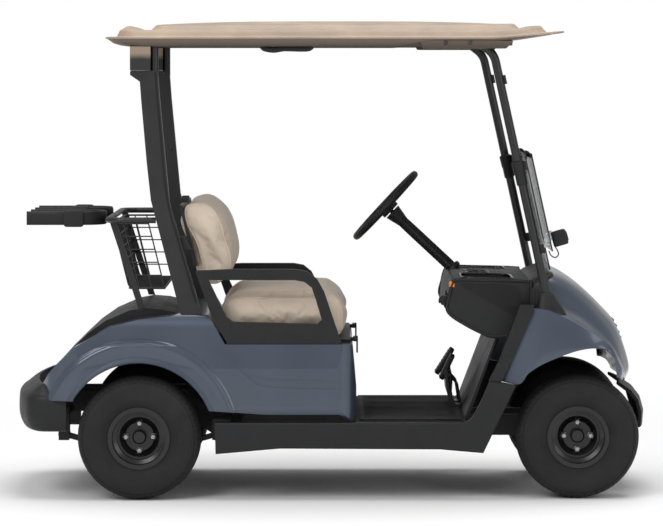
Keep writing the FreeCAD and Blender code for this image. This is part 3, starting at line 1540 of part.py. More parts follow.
def pedals():
    """The accelerator and brake, each on its arm from a block on the floor."""
    low = (dim.pedal_back, dim.frame_top + dim.floor_sheet + dim.seat_gap * 2)
    corners = spread(PEDAL_SHARES, low, (dim.pedal_length, dim.pedal_height))
    shapes = []
    for y in (dim.pedal_right_y, dim.pedal_left_y):
        shapes.append(side_prism(corners, y - dim.pedal_width / 2, y + dim.pedal_width / 2))
    return feature("pedals", Part.makeCompound(shapes))


def seat_board():
    """The board under the seat cushion, with its two hinge ears."""
    top = dim.seat_top_z
    low = top + dim.seat_gap
    half = dim.cushion_half_width - dim.board_inset
    back = dim.cushion_back + dim.board_inset * 2
    front = dim.hinge_x - dim.hinge_radius * 2
    shape = box_between((back, -half, low), (front, half, low + dim.seat_base_sheet))
    ears = []
    for side in (-1, 1):
        y = dim.hinge_y * side
        wide = dim.hinge_width / 2
        ears.append(rod((dim.hinge_x, y - wide, dim.hinge_z), (dim.hinge_x, y + wide, dim.hinge_z), dim.hinge_radius))
        ears.append(box_between((front - dim.overrun, y - wide, low), (dim.hinge_x, y + wide, low + dim.seat_base_sheet)))
    shape = joined([shape] + ears)
    for side in (-1, 1):
        y = dim.hinge_y * side
        wide = dim.hinge_width
        bore = dim.hinge_pin_radius + dim.pin_clearance
        shape = shape.cut(rod((dim.hinge_x, y - wide, dim.hinge_z), (dim.hinge_x, y + wide, dim.hinge_z), bore))
    return feature("seat_board", shape)


def seat_hinges():
    """Two black brackets on the seat base's front, each with a pin."""
    shapes = []
    face_x = dim.seat_base_front + dim.seat_gap
    for side in (-1, 1):
        y = dim.hinge_y * side
        gap = dim.hinge_width / 2 + dim.hinge_side_gap
        wide = gap + dim.hinge_ear
        low = dim.hinge_z - dim.hinge_drop
        block = box_between((face_x, y - wide, low), (face_x + dim.hinge_sheet, y + wide, dim.hinge_z - dim.hinge_radius * 2))
        parts = [block, rod((dim.hinge_x, y - wide, dim.hinge_z), (dim.hinge_x, y + wide, dim.hinge_z), dim.hinge_pin_radius)]
        for edge in (y - wide, y + gap):
            parts.append(box_between(
                (dim.hinge_x - dim.hinge_radius * 0.6, edge, dim.seat_top_z + dim.seat_gap),
                (face_x + dim.hinge_sheet, edge + dim.hinge_ear, dim.hinge_z + dim.hinge_radius),
            ))
            parts.append(box_between((face_x, edge, low), (face_x + dim.hinge_sheet, edge + dim.hinge_ear, dim.hinge_z)))
        shapes.append(joined(parts))
    return feature("seat_hinges", Part.makeCompound(shapes))


def seat_cushion():
    """The plain body of the bench cushion."""
    body = new_body("seat_cushion")
    sketch = sketch_in(body, "side")
    low = (dim.cushion_back, dim.seat_top_z + dim.seat_base_sheet + dim.seat_gap * 2)
    draw_outline(sketch, spread(CUSHION_SHARES, low, (dim.cushion_length, dim.cushion_height)))
    pad(body, sketch, dim.cushion_half_width * 2)
    return body


def seat_back():
    """The plain body of the backrest."""
    body = new_body("seat_back")
    sketch = sketch_in(body, "side")
    low = (dim.back_rest_tail, dim.back_rest_low)
    draw_outline(sketch, spread(BACK_SHARES, low, (dim.back_rest_length, dim.back_rest_height)))
    pad(body, sketch, dim.back_rest_half_width * 2)
    return body


def seat_back_frame():
    """The board behind the backrest, with an arm to each rear strut."""
    low = (dim.back_rest_tail, dim.back_rest_low)
    corners = spread(BACK_BOARD_SHARES, low, (dim.back_rest_length, dim.back_rest_height))
    half = dim.back_rest_half_width - dim.board_inset
    board = side_prism(corners, -half, half)
    reach = dim.rear_strut_y - dim.rear_strut_depth / 2 - dim.seat_gap
    arm = spread(BACK_ARM_SHARES, low, (dim.back_rest_length, dim.back_rest_height))
    shapes = [board]
    for side in (-1, 1):
        spans = sorted((float(half - dim.overrun) * side, float(reach) * side))
        shapes.append(side_prism(arm, spans[0], spans[1]))
    return feature("seat_back_frame", joined(shapes))


def armrest(label, side, back, length, height):
    """A moulded loop that stands on the side of the seat base."""
    body = new_body(label)
    sketch = sketch_in(body, "side")
    low = (back, dim.seat_top_z + dim.seat_gap)
    draw_outline(sketch, spread(ARM_SHARES, low, (length, height)))
    draw_outline(sketch, spread(ARM_WINDOW_SHARES, low, (length, height)))
    pad(body, sketch, dim.arm_width)
    place(body, 0, dim.arm_y * side, 0)
    return body


def front_strut_point(rise, offset=0):
    """A point in the side view on the front strut's line, or offset forward of it."""
    lean = math.radians(float(dim.front_strut_angle))
    x = dim.front_strut_base_x - rise * math.sin(lean) + offset * math.cos(lean)
    z = dim.front_strut_base_z + rise * math.cos(lean) + offset * math.sin(lean)
    return x, z


def front_struts():
    """The leaning front tubes, bent back along the roof rails at the top."""
    foot = front_strut_point(-dim.front_strut_foot_length)
    level = dim.roof_rail_low - dim.seat_gap - dim.front_strut_radius
    knee = front_strut_point(strut_rise_at(level))

    def strut(side):
        y = dim.front_strut_y * side
        path = [(foot[0], y, foot[1]), (knee[0], y, level), (knee[0] - dim.front_strut_return_length, y, level)]
        return bent_tube(path, dim.front_strut_radius, dim.front_strut_bend_radius)

    return feature("front_struts", sides(strut))


def rear_tube_x():
    """Where the round tube stands in the rear strut, along the cart."""
    return dim.strut_cover_back + dim.strut_cover_length * 0.34


def rear_struts():
    """The moulded rear struts, each with its round tube up to the roof rail."""
    low = (dim.strut_cover_back, dim.rear_bottom + dim.rear_height + dim.seat_gap)
    span = (dim.strut_cover_length, dim.strut_cover_height)
    half = dim.rear_strut_depth / 2
    top = low[1] + dim.strut_cover_height
    x = rear_tube_x()

    def strut(side):
        y = dim.rear_strut_y * side
        cover = side_prism(spread(STRUT_COVER_SHARES, low, span), y - half, y + half, dim.strut_cover_round)
        tube = rod((x, y, top - dim.overrun), (x, y, dim.roof_rail_low - dim.seat_gap), dim.rear_tube_radius)
        return joined([cover, tube])

    return feature("rear_struts", sides(strut))


def strut_caps():
    """The boxes at the top of the rear struts that take the roof's drains."""
    half = dim.strut_cap_width / 2
    back = dim.strut_cover_back
    top = dim.roof_rail_low - dim.seat_gap
    low = dim.rear_bottom + dim.rear_height + dim.strut_cover_height + dim.seat_gap * 2
    x = rear_tube_x()

    def cap(side):
        y = dim.rear_strut_y * side
        block = box_between((back, y - half, low), (back + dim.strut_cap_length, y + half, top))
        return block.cut(rod((x, y, low), (x, y, top), dim.rear_tube_radius + dim.seat_gap))

    return feature("strut_caps", sides(cap))


def raised_pad(middle, halves, low, high, corner):
    """A pad with sloping sides on the roof's skin, from z low to z high."""
    step = high - low
    wires = []
    for inset, level in ((0, low), (step, high)):
        across = halves[0] - inset
        up = halves[1] - inset
        wires.append(rounded_face("plan", [
            (middle[0] - across, middle[1] - up), (middle[0] + across, middle[1] - up),
            (middle[0] + across, middle[1] + up), (middle[0] - across, middle[1] + up),
        ], corner, level).OuterWire)
    return Part.makeLoft(wires, True)


def roof():
    """The moulded roof: a hollow lipped pan with a bowed front, a centre panel and humps."""
    half = dim.roof_half_width
    back = dim.roof_back
    front = dim.roof_front
    bow = dim.roof_bow
    outline = [
        (back, -half), (front - bow, -half), (front, -half * 0.5), (front, half * 0.5),
        (front - bow, half), (back, half),
    ]
    low = dim.roof_lip_z
    band = low + dim.roof_band
    pan = plan_prism(outline, low, band, dim.roof_corner)
    sweep = [
        (front - dim.roof_sweep_length, low), (front + dim.overrun, low + dim.roof_band * 0.75),
        (front + dim.overrun, low - dim.overrun), (front - dim.roof_sweep_length, low - dim.overrun),
    ]
    inner_face = rounded_face("plan", outline, dim.roof_corner, low - dim.overrun).makeOffset2D(-float(dim.roof_wall))
    inner = inner_face.extrude(vector(0, 0, dim.roof_band + dim.overrun - dim.roof_wall))
    middle = ((dim.roof_panel_back + dim.roof_panel_front) / 2, 0)
    halves = ((dim.roof_panel_front - dim.roof_panel_back) / 2, dim.roof_panel_half_width)
    raised = raised_pad(middle, halves, band, dim.roof_crown_z, dim.roof_corner * 0.8)
    hollow = raised.translated(vector(0, 0, -dim.roof_wall))
    hump = dim.hump_half_length
    pads = [raised]
    nose_hump = (front - dim.roof_sweep_length * 0.3, 0)
    pads.append(raised_pad(nose_hump, (hump, half * 0.5), band, band + dim.hump_height, hump * 0.8))
    for side in (-1, 1):
        place_xy = (dim.strut_cover_back + dim.strut_cap_length / 2 - dim.roof_wall, dim.rear_strut_y * side)
        pads.append(raised_pad(place_xy, (hump, dim.strut_cap_width / 2), band, band + dim.hump_height, hump * 0.5))
    shape = pan.multiFuse(pads).cut(inner).cut(hollow)
    return feature("roof", shape.cut(side_prism(sweep, -half - dim.overrun, half + dim.overrun)))


def roof_rails():
    """The channels under the roof's sides that the struts carry."""
    half = dim.roof_rail_width / 2
    top = dim.roof_lip_z + dim.roof_band - dim.roof_wall - dim.seat_gap
    back = dim.strut_cover_back
    front = dim.roof_rail_front
    low = dim.roof_rail_low

    def rail(side):
        y = dim.rear_strut_y * side
        channel = box_between((back, y - half, low), (front, y + half, top))
        spans = sorted((float(y) + float(half) * side, float(y) + float(half + dim.bracket_sheet) * side))
        bracket = box_between(
            (front - dim.bracket_length, spans[0], low - dim.bracket_drop),
            (front, spans[1], low + dim.bracket_rise),
        )
        return joined([channel, bracket])

    return feature("roof_rails", sides(rail))


def grab_handle():
    """The bent handle under the right roof rail."""
    y = -dim.rear_strut_y
    top = dim.roof_rail_low - dim.seat_gap
    low = top - dim.handle_drop
    back = dim.handle_back
    front = back + dim.handle_length
    path = [(back, y, top), (back, y, low), (front, y, low), (front, y, top)]
    return feature("grab_handle", bent_tube(path, dim.handle_radius, dim.handle_drop * 0.45))


def basket():
    """The welded wire basket behind the backrest."""
    wire = dim.basket_wire
    half = dim.basket_half_width
    low = dim.basket_low
    top = dim.basket_top
    lean = dim.basket_lean
    shapes = []
    count = int(float(top - low) / float(dim.basket_pitch)) + 1
    for index in range(count + 1):
        share = index / count
        z = low + (top - low - wire) * share
        back = dim.basket_back + lean * (1 - share)
        front = dim.basket_front + lean * (1 - share)
        shapes.append(box_between((back, -half, z), (back + wire, half, z + wire)))
        for y in (-half, half - wire):
            shapes.append(box_between((back, y, z), (front, y + wire, z + wire)))
    posts = int(float(half) * 2 / float(dim.basket_pitch))
    for index in range(posts + 1):
        y = -half + (half * 2 - wire) * (index / posts)
        wall = [
            (dim.basket_back, top), (dim.basket_back + lean, low),
            (dim.basket_back + lean + wire, low), (dim.basket_back + wire, top),
        ]
        shapes.append(side_prism(wall, y, y + wire))
        shapes.append(box_between((dim.basket_back + lean, y, low), (dim.basket_front + lean, y + wire, low + wire)))
    for y in (-half, half - wire):
        front = [
            (dim.basket_front - wire, top), (dim.basket_front + lean - wire, low),
            (dim.basket_front + lean, low), (dim.basket_front, top),
        ]
        shapes.append(side_prism(front, y, y + wire))
    shapes.append(box_between((dim.basket_front + lean - wire, -half, low), (dim.basket_front + lean, half, low + wire)))
    return feature("basket", joined(shapes))


def bag_rack():
    """The bar behind the basket, with a flat leg at each side."""
    y = dim.rear_strut_y
    bar_x = dim.basket_back - dim.seat_gap - dim.rack_tube_radius
    start_x = dim.strut_cover_back + dim.strut_cover_length * 0.352
    path = [
        (start_x, -y, dim.rest_z), (bar_x, -y, dim.rest_z),
        (bar_x, y, dim.rest_z), (start_x, y, dim.rest_z),
    ]
    shapes = [bent_tube(path, dim.rack_tube_radius, dim.rack_bend_radius)]
    near = dim.basket_half_width + dim.seat_gap
    leg = [
        (bar_x, dim.rest_z), (bar_x + dim.rack_lean, dim.deck_low + dim.deck_rise + dim.seat_gap),
        (bar_x + dim.rack_lean + dim.rack_bar, dim.deck_low + dim.deck_rise + dim.seat_gap),
        (bar_x + dim.rack_bar, dim.rest_z),
    ]
    for edge in (near, -near - dim.rack_bar_sheet):
        shapes.append(side_prism(leg, edge, edge + dim.rack_bar_sheet))
    return feature("bag_rack", joined(shapes))


def bag_rests():
    """Two flat padded bands, bent round golf bags that stand behind the cart."""
    half = dim.rest_thickness / 2
    front = dim.basket_back - dim.seat_gap * 2 - dim.rack_tube_radius * 2
    tail = dim.rest_tail_x
    low = dim.rest_z - dim.rest_height / 2
    high = dim.rest_z + dim.rest_height / 2

    def rest(side):
        y = dim.rest_y * side
        solids = []
        for reach, inset in ((dim.rest_half_gap + half, 0), (dim.rest_half_gap - half, dim.rest_thickness)):
            solids.append(plan_prism([
                (tail - dim.rest_bend_radius, y - reach), (front - inset, y - reach),
                (front - inset, y + reach), (tail - dim.rest_bend_radius, y + reach),
            ], low, high, dim.rest_bend_radius - inset))
        band = solids[0].cut(solids[1])
        beyond = box_between((tail - dim.rest_bend_radius * 2, y - dim.rest_y, low), (tail, y + dim.rest_y, high))
        return band.cut(beyond)

    return feature("bag_rests", sides(rest))


def shield_pane(label, start, length, offset):
    """A flat clear pane parallel to the front struts."""
    body = new_body(label)
    sketch = sketch_in(body, "side")
    near = offset - dim.shield_sheet / 2
    far = offset + dim.shield_sheet / 2
    draw_outline(sketch, [
        front_strut_point(start, near),
        front_strut_point(start + length, near),
        front_strut_point(start + length, far),
        front_strut_point(start, far),
    ])
    pad(body, sketch, dim.shield_half_width * 2)
    return body


def strut_rise_at(z):
    """Distance along the front strut's line to a given height."""
    lean = math.radians(float(dim.front_strut_angle))
    return (z - dim.front_strut_base_z) / math.cos(lean)


def strut_block(rises, offsets, near, far):
    """A block along the strut's line, between two offsets and two y values."""
    corners = [
        front_strut_point(rises[0], offsets[0]),
        front_strut_point(rises[1], offsets[0]),
        front_strut_point(rises[1], offsets[1]),
        front_strut_point(rises[0], offsets[1]),
    ]
    return side_prism(corners, near, far)


def fold_pin(y_near, y_far, radius):
    """A round bar on the windshield's folding axis."""
    x, z = front_strut_point(strut_rise_at(dim.shield_fold_z), dim.shield_offset + dim.shield_fold_offset)
    return rod((x, y_near, z), (x, y_far, z), radius)


def windshield():
    """The lower pane and, folded down before it, the upper pane."""
    fold = strut_rise_at(dim.shield_fold_z)
    low = strut_rise_at(dim.shield_low_z)
    gap = dim.shield_edge_gap
    shield_pane("windshield_lower", low, fold - low - gap, dim.shield_offset)
    upper_offset = dim.shield_offset + dim.shield_fold_offset * 2
    upper = fold - gap - dim.shield_upper_length
    shield_pane("windshield_upper", upper, dim.shield_upper_length, upper_offset)


def fold_strip(label, side):
    """A strip along one pane's folding edge, with its barrels: side -1 is the fixed one."""
    fold = strut_rise_at(dim.shield_fold_z)
    middle = dim.shield_offset + dim.shield_fold_offset
    pane = dim.shield_fold_offset - dim.shield_sheet / 2 - dim.seat_gap
    half = dim.shield_half_width - dim.board_inset
    rises = (fold - dim.fold_strip_height - dim.shield_edge_gap, fold - dim.shield_edge_gap * 0.5)
    inner = (middle + (pane - dim.fold_strip_sheet) * side, middle + pane * side)
    shapes = [strut_block(rises, sorted(inner, key=float), -half, half)]
    ear = dim.fold_barrel_width
    for share in FOLD_STATION_SHARES:
        y = half * share
        if side > 0:
            stations = [(y - ear / 2, y + ear / 2)]
        else:
            step = ear / 2 + dim.fold_barrel_gap
            stations = [(y - step - ear / 2, y - step), (y + step, y + step + ear / 2)]
        for near, far in stations:
            web = (middle, middle + pane * side)
            rise = (fold - dim.shield_edge_gap, fold)
            shapes.append(strut_block(rise, sorted(web, key=float), near, far))
            shapes.append(fold_pin(near, far, dim.fold_barrel_radius))
    shape = joined(shapes)
    if side > 0:
        shape = shape.cut(fold_pin(-half, half, dim.fold_pin_radius + dim.pin_clearance))
    else:
        pins = []
        for share in FOLD_STATION_SHARES:
            y = half * share
            reach = ear / 2 + dim.fold_barrel_gap * 2
            pins.append(fold_pin(y - reach, y + reach, dim.fold_pin_radius))
        shape = joined([shape] + pins)
    return feature(label, shape)


def windshield_clips():
    """Blocks that hold the lower pane on the struts, and rests for the upper one."""
    shapes = []
    near = dim.front_strut_radius - dim.clip_bite
    far = dim.shield_offset - dim.shield_sheet / 2 - dim.seat_gap
    half = dim.clip_height / 2
    rest = far - dim.shield_edge_gap + dim.clip_bite
    lower = dim.shield_fold_z - dim.shield_low_z
    upper = dim.roof_rail_low - dim.shield_fold_z
    stations = [(dim.shield_low_z + lower * share, far) for share in CLIP_SHARES]
    stations.append((dim.shield_fold_z + upper * TOP_CLIP_SHARE, rest))
    for side in (-1, 1):
        y = dim.front_strut_y * side
        wide = dim.front_strut_radius * 0.7
        tube = rod(
            (front_strut_point(0)[0], y, front_strut_point(0)[1]),
            (front_strut_point(dim.front_strut_length)[0], y, front_strut_point(dim.front_strut_length)[1]),
            dim.front_strut_radius + dim.seat_gap,
        )
        for z, reach in stations:
            rise = strut_rise_at(z)
            block = strut_block((rise - half, rise + half), (near, reach), y - wide, y + wide)
            shapes.append(block.cut(tube))
    return feature("windshield_clips", Part.makeCompound(shapes))


def check_and_write():
    """Recomputes, checks every object and writes the sub-parts."""
    document.recompute()
    for item in document.Objects:
        if "Invalid" in item.State or "Error" in item.State:
            raise RuntimeError("failed object: " + item.Label)
    for item in sub_parts:
        if item.Shape.isNull() or not item.Shape.isValid():
            raise RuntimeError("bad shape: " + item.Label)
    os.makedirs("parts", exist_ok=True)
    for item in sub_parts:
        item.Shape.exportStep("parts/%s.step" % item.Label)


wheels_and_tyres()
chassis_frame()
floor_panel()
toe_board()
sills()
pillars()
front_cowl()
front_bumper()
dash()
rear_body()
rear_deck()
rear_bumper()
battery_pack()
rear_axle()
leaf_springs()
dampers()
front_axle()
mirrored("knuckle_right", knuckle("knuckle_left"))
tie_rod()
steering_column()
steering_wheel()
pedals()
seat_board()
seat_hinges()
seat_cushion()
seat_back()
seat_back_frame()
armrest("armrest_right", -1, dim.arm_back, dim.arm_length, dim.arm_height)
left_length = dim.arm_length - dim.arm_left_inset * 2
armrest("armrest_left", 1, dim.arm_back + dim.arm_left_inset, left_length, dim.arm_height - dim.arm_left_drop)
front_struts()
rear_struts()
strut_caps()
roof_rails()
roof()
grab_handle()
basket()
bag_rack()
bag_rests()
windshield()
fold_strip("fold_strip_lower", -1)
fold_strip("fold_strip_upper", 1)
windshield_clips()
check_and_write()
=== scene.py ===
"""A golf cart dressed for rendering: finishes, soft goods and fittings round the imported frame.

Every length is in metres in the frame's axes: +X to the nose, +Y to the driver's left, +Z up.
"""

from __future__ import annotations

import json
import logging
import math
from dataclasses import dataclass
from enum import Enum

import bmesh
import bpy
import numpy as np
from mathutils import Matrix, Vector
from mathutils.bvhtree import BVHTree

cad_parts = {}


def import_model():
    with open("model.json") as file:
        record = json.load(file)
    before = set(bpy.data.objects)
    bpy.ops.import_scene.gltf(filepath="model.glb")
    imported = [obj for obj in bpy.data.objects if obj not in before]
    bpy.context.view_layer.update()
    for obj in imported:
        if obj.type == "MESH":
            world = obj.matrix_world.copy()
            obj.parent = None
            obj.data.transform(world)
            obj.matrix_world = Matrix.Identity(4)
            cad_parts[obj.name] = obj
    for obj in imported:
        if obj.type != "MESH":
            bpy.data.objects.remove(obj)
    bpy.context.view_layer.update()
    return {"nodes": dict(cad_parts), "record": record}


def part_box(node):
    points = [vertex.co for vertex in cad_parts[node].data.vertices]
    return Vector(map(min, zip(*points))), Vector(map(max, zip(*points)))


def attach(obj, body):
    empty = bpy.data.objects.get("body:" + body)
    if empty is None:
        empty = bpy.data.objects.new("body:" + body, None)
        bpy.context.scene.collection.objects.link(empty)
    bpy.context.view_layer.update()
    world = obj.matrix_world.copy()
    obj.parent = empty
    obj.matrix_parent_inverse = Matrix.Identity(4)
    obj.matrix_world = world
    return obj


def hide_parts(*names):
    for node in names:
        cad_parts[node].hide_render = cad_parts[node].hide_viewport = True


logging.basicConfig(level=logging.INFO, format="%(message)s")
log = logging.getLogger("golf_cart")

Colour = tuple[float, float, float]
Point = tuple[float, float, float]
Span = tuple[float, float]
Outline = tuple[Span, ...]
Grid = np.ndarray
Socket = bpy.types.NodeSocket
Piece = bpy.types.Object

ALONG: Point = (1.0, 0.0, 0.0)
ACROSS: Point = (0.0, 1.0, 0.0)
UP: Point = (0.0, 0.0, 1.0)
FLIP = np.array([1.0, -1.0, 1.0])
SIDES = (-1.0, 1.0)

CHASSIS = "chassis"
LID = "seat_lid"
PANE = "windshield_fold"


# Node trees


class NodeBoard:
    """Builds one material's nodes round its Principled shader."""

    def __init__(self, name: str) -> None:
        """Makes an empty material that reads Object coordinates.

        Args:
            name: The material's name.
        """
        self.material = bpy.data.materials.new(name)
        self.material.use_nodes = True
        self.tree = self.material.node_tree
        self.shader = self.tree.nodes["Principled BSDF"]
        self.place = self.add("ShaderNodeTexCoord").outputs["Object"]

    def add(self, kind: str, inputs: dict | None = None, **facts: object) -> bpy.types.Node:
        """Adds a node.

        Args:
            kind: The node's type name.
            inputs: Values or sockets for its inputs, by name or index.
            facts: Attributes to set on the node.

        Returns:
            The new node.
        """
        node = self.tree.nodes.new(kind)
        for name, value in facts.items():
            setattr(node, name, value)
        for key, value in (inputs or {}).items():
            socket = node.inputs[key]
            if isinstance(value, Socket):
                self.tree.links.new(value, socket)
            else:
                socket.default_value = value
        return node

    def stretched(self, scale: Point) -> Socket:
        """Object coordinates with a scale of their own along each axis."""
        return self.add("ShaderNodeMapping", {"Vector": self.place, "Scale": scale}).outputs[0]

    def noise(self, scale: float, detail: float = 3.0, place: Socket | None = None) -> Socket:
        """Cloudy noise, about 0.5 in the middle."""
        inputs = {"Vector": place or self.place, "Scale": scale, "Detail": detail}
        return self.add("ShaderNodeTexNoise", inputs).outputs[0]

    def cells(self, scale: float, feature: str = "F1") -> Socket:
        """Distance to the nearest point of a scattered set."""
        inputs = {"Vector": self.place, "Scale": scale}
        return self.add("ShaderNodeTexVoronoi", inputs, feature=feature).outputs["Distance"]

    def spread(self, value: Socket, old: Span, new: Span) -> Socket:
        """A value's range stretched from old to new, and held there."""
        inputs = {"Value": value, "From Min": old[0], "From Max": old[1], "To Min": new[0], "To Max": new[1]}
        return self.add("ShaderNodeMapRange", inputs).outputs[0]

    def sum(self, first: Socket, second: Socket, share: float = 1.0) -> Socket:
        """first + second * share."""
        inputs = {0: second, 1: share, 2: first}
        return self.add("ShaderNodeMath", inputs, operation="MULTIPLY_ADD").outputs[0]

    def blend(self, share: Socket, first: Colour, second: Colour) -> Socket:
        """A colour between two, by a share from 0 to 1."""
        inputs = {0: share, 6: (*first, 1.0), 7: (*second, 1.0)}
        return self.add("ShaderNodeMix", inputs, data_type="RGBA").outputs[2]

    def mottle(self, value: Socket, span: Span, first: Colour, second: Colour) -> Socket:
        """A colour that turns from the first to the second while a value crosses a span."""
        return self.blend(self.spread(value, span, (0.0, 1.0)), first, second)

    def bump(self, height: Socket, depth: float, strength: float = 1.0) -> None:
        """Raises the surface by a height of 0 to 1 times depth in metres."""
        node = self.add("ShaderNodeBump", {"Height": height, "Distance": depth, "Strength": strength})
        self.tree.links.new(node.outputs[0], self.shader.inputs["Normal"])

    def set(self, **values: object) -> None:
        """Sets or joins the shader's own sockets, each named with underscores.

        Args:
            values: Each socket's value, or the socket that feeds it.
        """
        for name, value in values.items():
            socket = self.shader.inputs[name.replace("_", " ")]
            if isinstance(value, Socket):
                self.tree.links.new(value, socket)
            else:
                socket.default_value = value


def darker(colour: Colour, share: float) -> Colour:
    """A colour times a share."""
    return tuple(part * share for part in colour)


@dataclass(frozen=True)
class BodyPaint:
    """Metallic paint under a clear coat, with fine flake in faint clouds."""

    name: str = "body_paint"
    colour: Colour = (0.048, 0.063, 0.092)
    flake_scale: float = 2600.0
    flake_depth: float = 0.00003
    flake_share: float = 0.6
    cloud_scale: float = 5.0
    shades: Span = (0.88, 1.14)

    def material(self) -> bpy.types.Material:
        """Builds the finish's nodes.

        Returns:
            The finish as a new material.
        """
        board = NodeBoard(self.name)
        cloud = board.noise(self.cloud_scale)
        flake = board.noise(self.flake_scale, 1.0)
        mixed = board.sum(cloud, flake, self.flake_share)
        dark, light = (darker(self.colour, shade) for shade in self.shades)
        colour = board.mottle(mixed, (0.5, 1.1), dark, light)
        board.set(Base_Color=colour, Metallic=0.45, Roughness=board.spread(cloud, (0.3, 0.7), (0.34, 0.42)))
        board.set(Coat_Weight=0.7, Coat_Roughness=0.12)
        board.bump(flake, self.flake_depth, 0.5)
        return board.material


@dataclass(frozen=True)
class GrainedPlastic:
    """Moulded plastic with a fine leather-like grain and scuffed patches."""

    name: str
    colour: Colour
    roughness: float = 0.48
    grain_scale: float = 700.0
    grain_depth: float = 0.00012
    scuff_scale: float = 14.0
    shades: Span = (0.85, 1.25)

    def material(self) -> bpy.types.Material:
        """Builds the finish's nodes.

        Returns:
            The finish as a new material.
        """
        board = NodeBoard(self.name)
        grain = board.cells(self.grain_scale)
        scuff = board.noise(self.scuff_scale, 6.0)
        dark, light = (darker(self.colour, shade) for shade in self.shades)
        colour = board.mottle(scuff, (0.35, 0.75), dark, light)
        rough = board.spread(scuff, (0.3, 0.7), (self.roughness - 0.06, self.roughness + 0.1))
        board.set(Base_Color=colour, Roughness=rough, Specular_IOR_Level=0.34)
        board.bump(grain, self.grain_depth, 0.6)
        return board.material


@dataclass(frozen=True)
class TubePaint:
    """Powder coat on steel tube: satin, with a slight orange peel."""

    name: str
    colour: Colour
    roughness: float = 0.36
    peel_scale: float = 420.0
    peel_depth: float = 0.00006
    wear_scale: float = 9.0
    worn: float = 1.5

    def material(self) -> bpy.types.Material:
        """Builds the finish's nodes.

        Returns:
            The finish as a new material.
        """
        board = NodeBoard(self.name)
        peel = board.noise(self.peel_scale, 2.0)
        wear = board.noise(self.wear_scale, 5.0)
        colour = board.mottle(wear, (0.4, 0.75), self.colour, darker(self.colour, self.worn))
        rough = board.spread(wear, (0.3, 0.7), (self.roughness, self.roughness + 0.12))
        board.set(Base_Color=colour, Roughness=rough)
        board.bump(peel, self.peel_depth, 0.7)
        return board.material


@dataclass(frozen=True)
class BareMetal:
    """Bare or plated metal with drawn lines and dulled patches."""

    name: str
    colour: Colour
    roughness: float = 0.3
    line_scale: Point = (40.0, 900.0, 900.0)
    line_depth: float = 0.00004
    dull_scale: float = 22.0
    dulled: float = 0.75

    def material(self) -> bpy.types.Material:
        """Builds the finish's nodes.

        Returns:
            The finish as a new material.
        """
        board = NodeBoard(self.name)
        lines = board.noise(1.0, 2.0, board.stretched(self.line_scale))
        dull = board.noise(self.dull_scale, 4.0)
        colour = board.mottle(dull, (0.35, 0.7), self.colour, darker(self.colour, self.dulled))
        span = (self.roughness, self.roughness + 0.18)
        rough = board.spread(board.sum(dull, lines, 0.3), (0.4, 0.9), span)
        board.set(Base_Color=colour, Metallic=1.0, Roughness=rough)
        board.bump(lines, self.line_depth, 0.4)
        return board.material


@dataclass(frozen=True)
class Vinyl:
    """Soft expanded vinyl: creased grain, a little sheen and faint soiling."""

    name: str = "seat_vinyl"
    colour: Colour = (0.60, 0.50, 0.40)
    grain_scale: float = 420.0
    grain_depth: float = 0.00022
    crease_scale: float = 9.0
    shades: Span = (0.9, 1.04)

    def material(self) -> bpy.types.Material:
        """Builds the finish's nodes.

        Returns:
            The finish as a new material.
        """
        board = NodeBoard(self.name)
        grain = board.cells(self.grain_scale, "DISTANCE_TO_EDGE")
        crease = board.noise(self.crease_scale, 7.0)
        dark, light = (darker(self.colour, shade) for shade in self.shades)
        colour = board.mottle(crease, (0.35, 0.7), dark, light)
        board.set(Base_Color=colour, Roughness=board.spread(crease, (0.3, 0.7), (0.42, 0.54)))
        board.set(Specular_IOR_Level=0.4, Sheen_Weight=0.12, Sheen_Roughness=0.4)
        fine = board.spread(grain, (0.0, 0.12), (0.0, 1.0))
        board.bump(board.sum(fine, crease, 1.6), self.grain_depth, 0.55)
        return board.material


@dataclass(frozen=True)
class Rubber:
    """Rubber: nearly black, dull, dusty where it is raised."""

    name: str
    colour: Colour = (0.011, 0.011, 0.012)
    dust: Colour = (0.030, 0.029, 0.027)
    roughness: float = 0.72
    pore_scale: float = 500.0
    pore_depth: float = 0.00012
    patch_scale: float = 7.0

    def material(self) -> bpy.types.Material:
        """Builds the finish's nodes.

        Returns:
            The finish as a new material.
        """
        board = NodeBoard(self.name)
        pores = board.noise(self.pore_scale, 3.0)
        patch = board.noise(self.patch_scale, 6.0)
        colour = board.blend(board.spread(patch, (0.45, 0.8), (0.0, 0.7)), self.colour, self.dust)
        rough = board.spread(patch, (0.3, 0.7), (self.roughness, self.roughness + 0.15))
        board.set(Base_Color=colour, Roughness=rough, Specular_IOR_Level=0.35)
        board.bump(pores, self.pore_depth, 0.5)
        return board.material


@dataclass(frozen=True)
class ClearSheet:
    """Clear acrylic sheet with a faint grey tint and wiped haze."""

    name: str = "clear_sheet"
    tint: Colour = (0.86, 0.90, 0.90)
    haze_stretch: Point = (1.0, 3.0, 1.0)
    bending: float = 1.20

    def material(self) -> bpy.types.Material:
        """Builds the finish's nodes.

        Returns:
            The finish as a new material.
        """
        board = NodeBoard(self.name)
        haze = board.noise(6.0, 5.0, board.stretched(self.haze_stretch))
        rough = board.spread(haze, (0.35, 0.75), (0.02, 0.10))
        board.set(Base_Color=(*self.tint, 1.0), Roughness=rough, Transmission_Weight=1.0, IOR=self.bending)
        return board.material


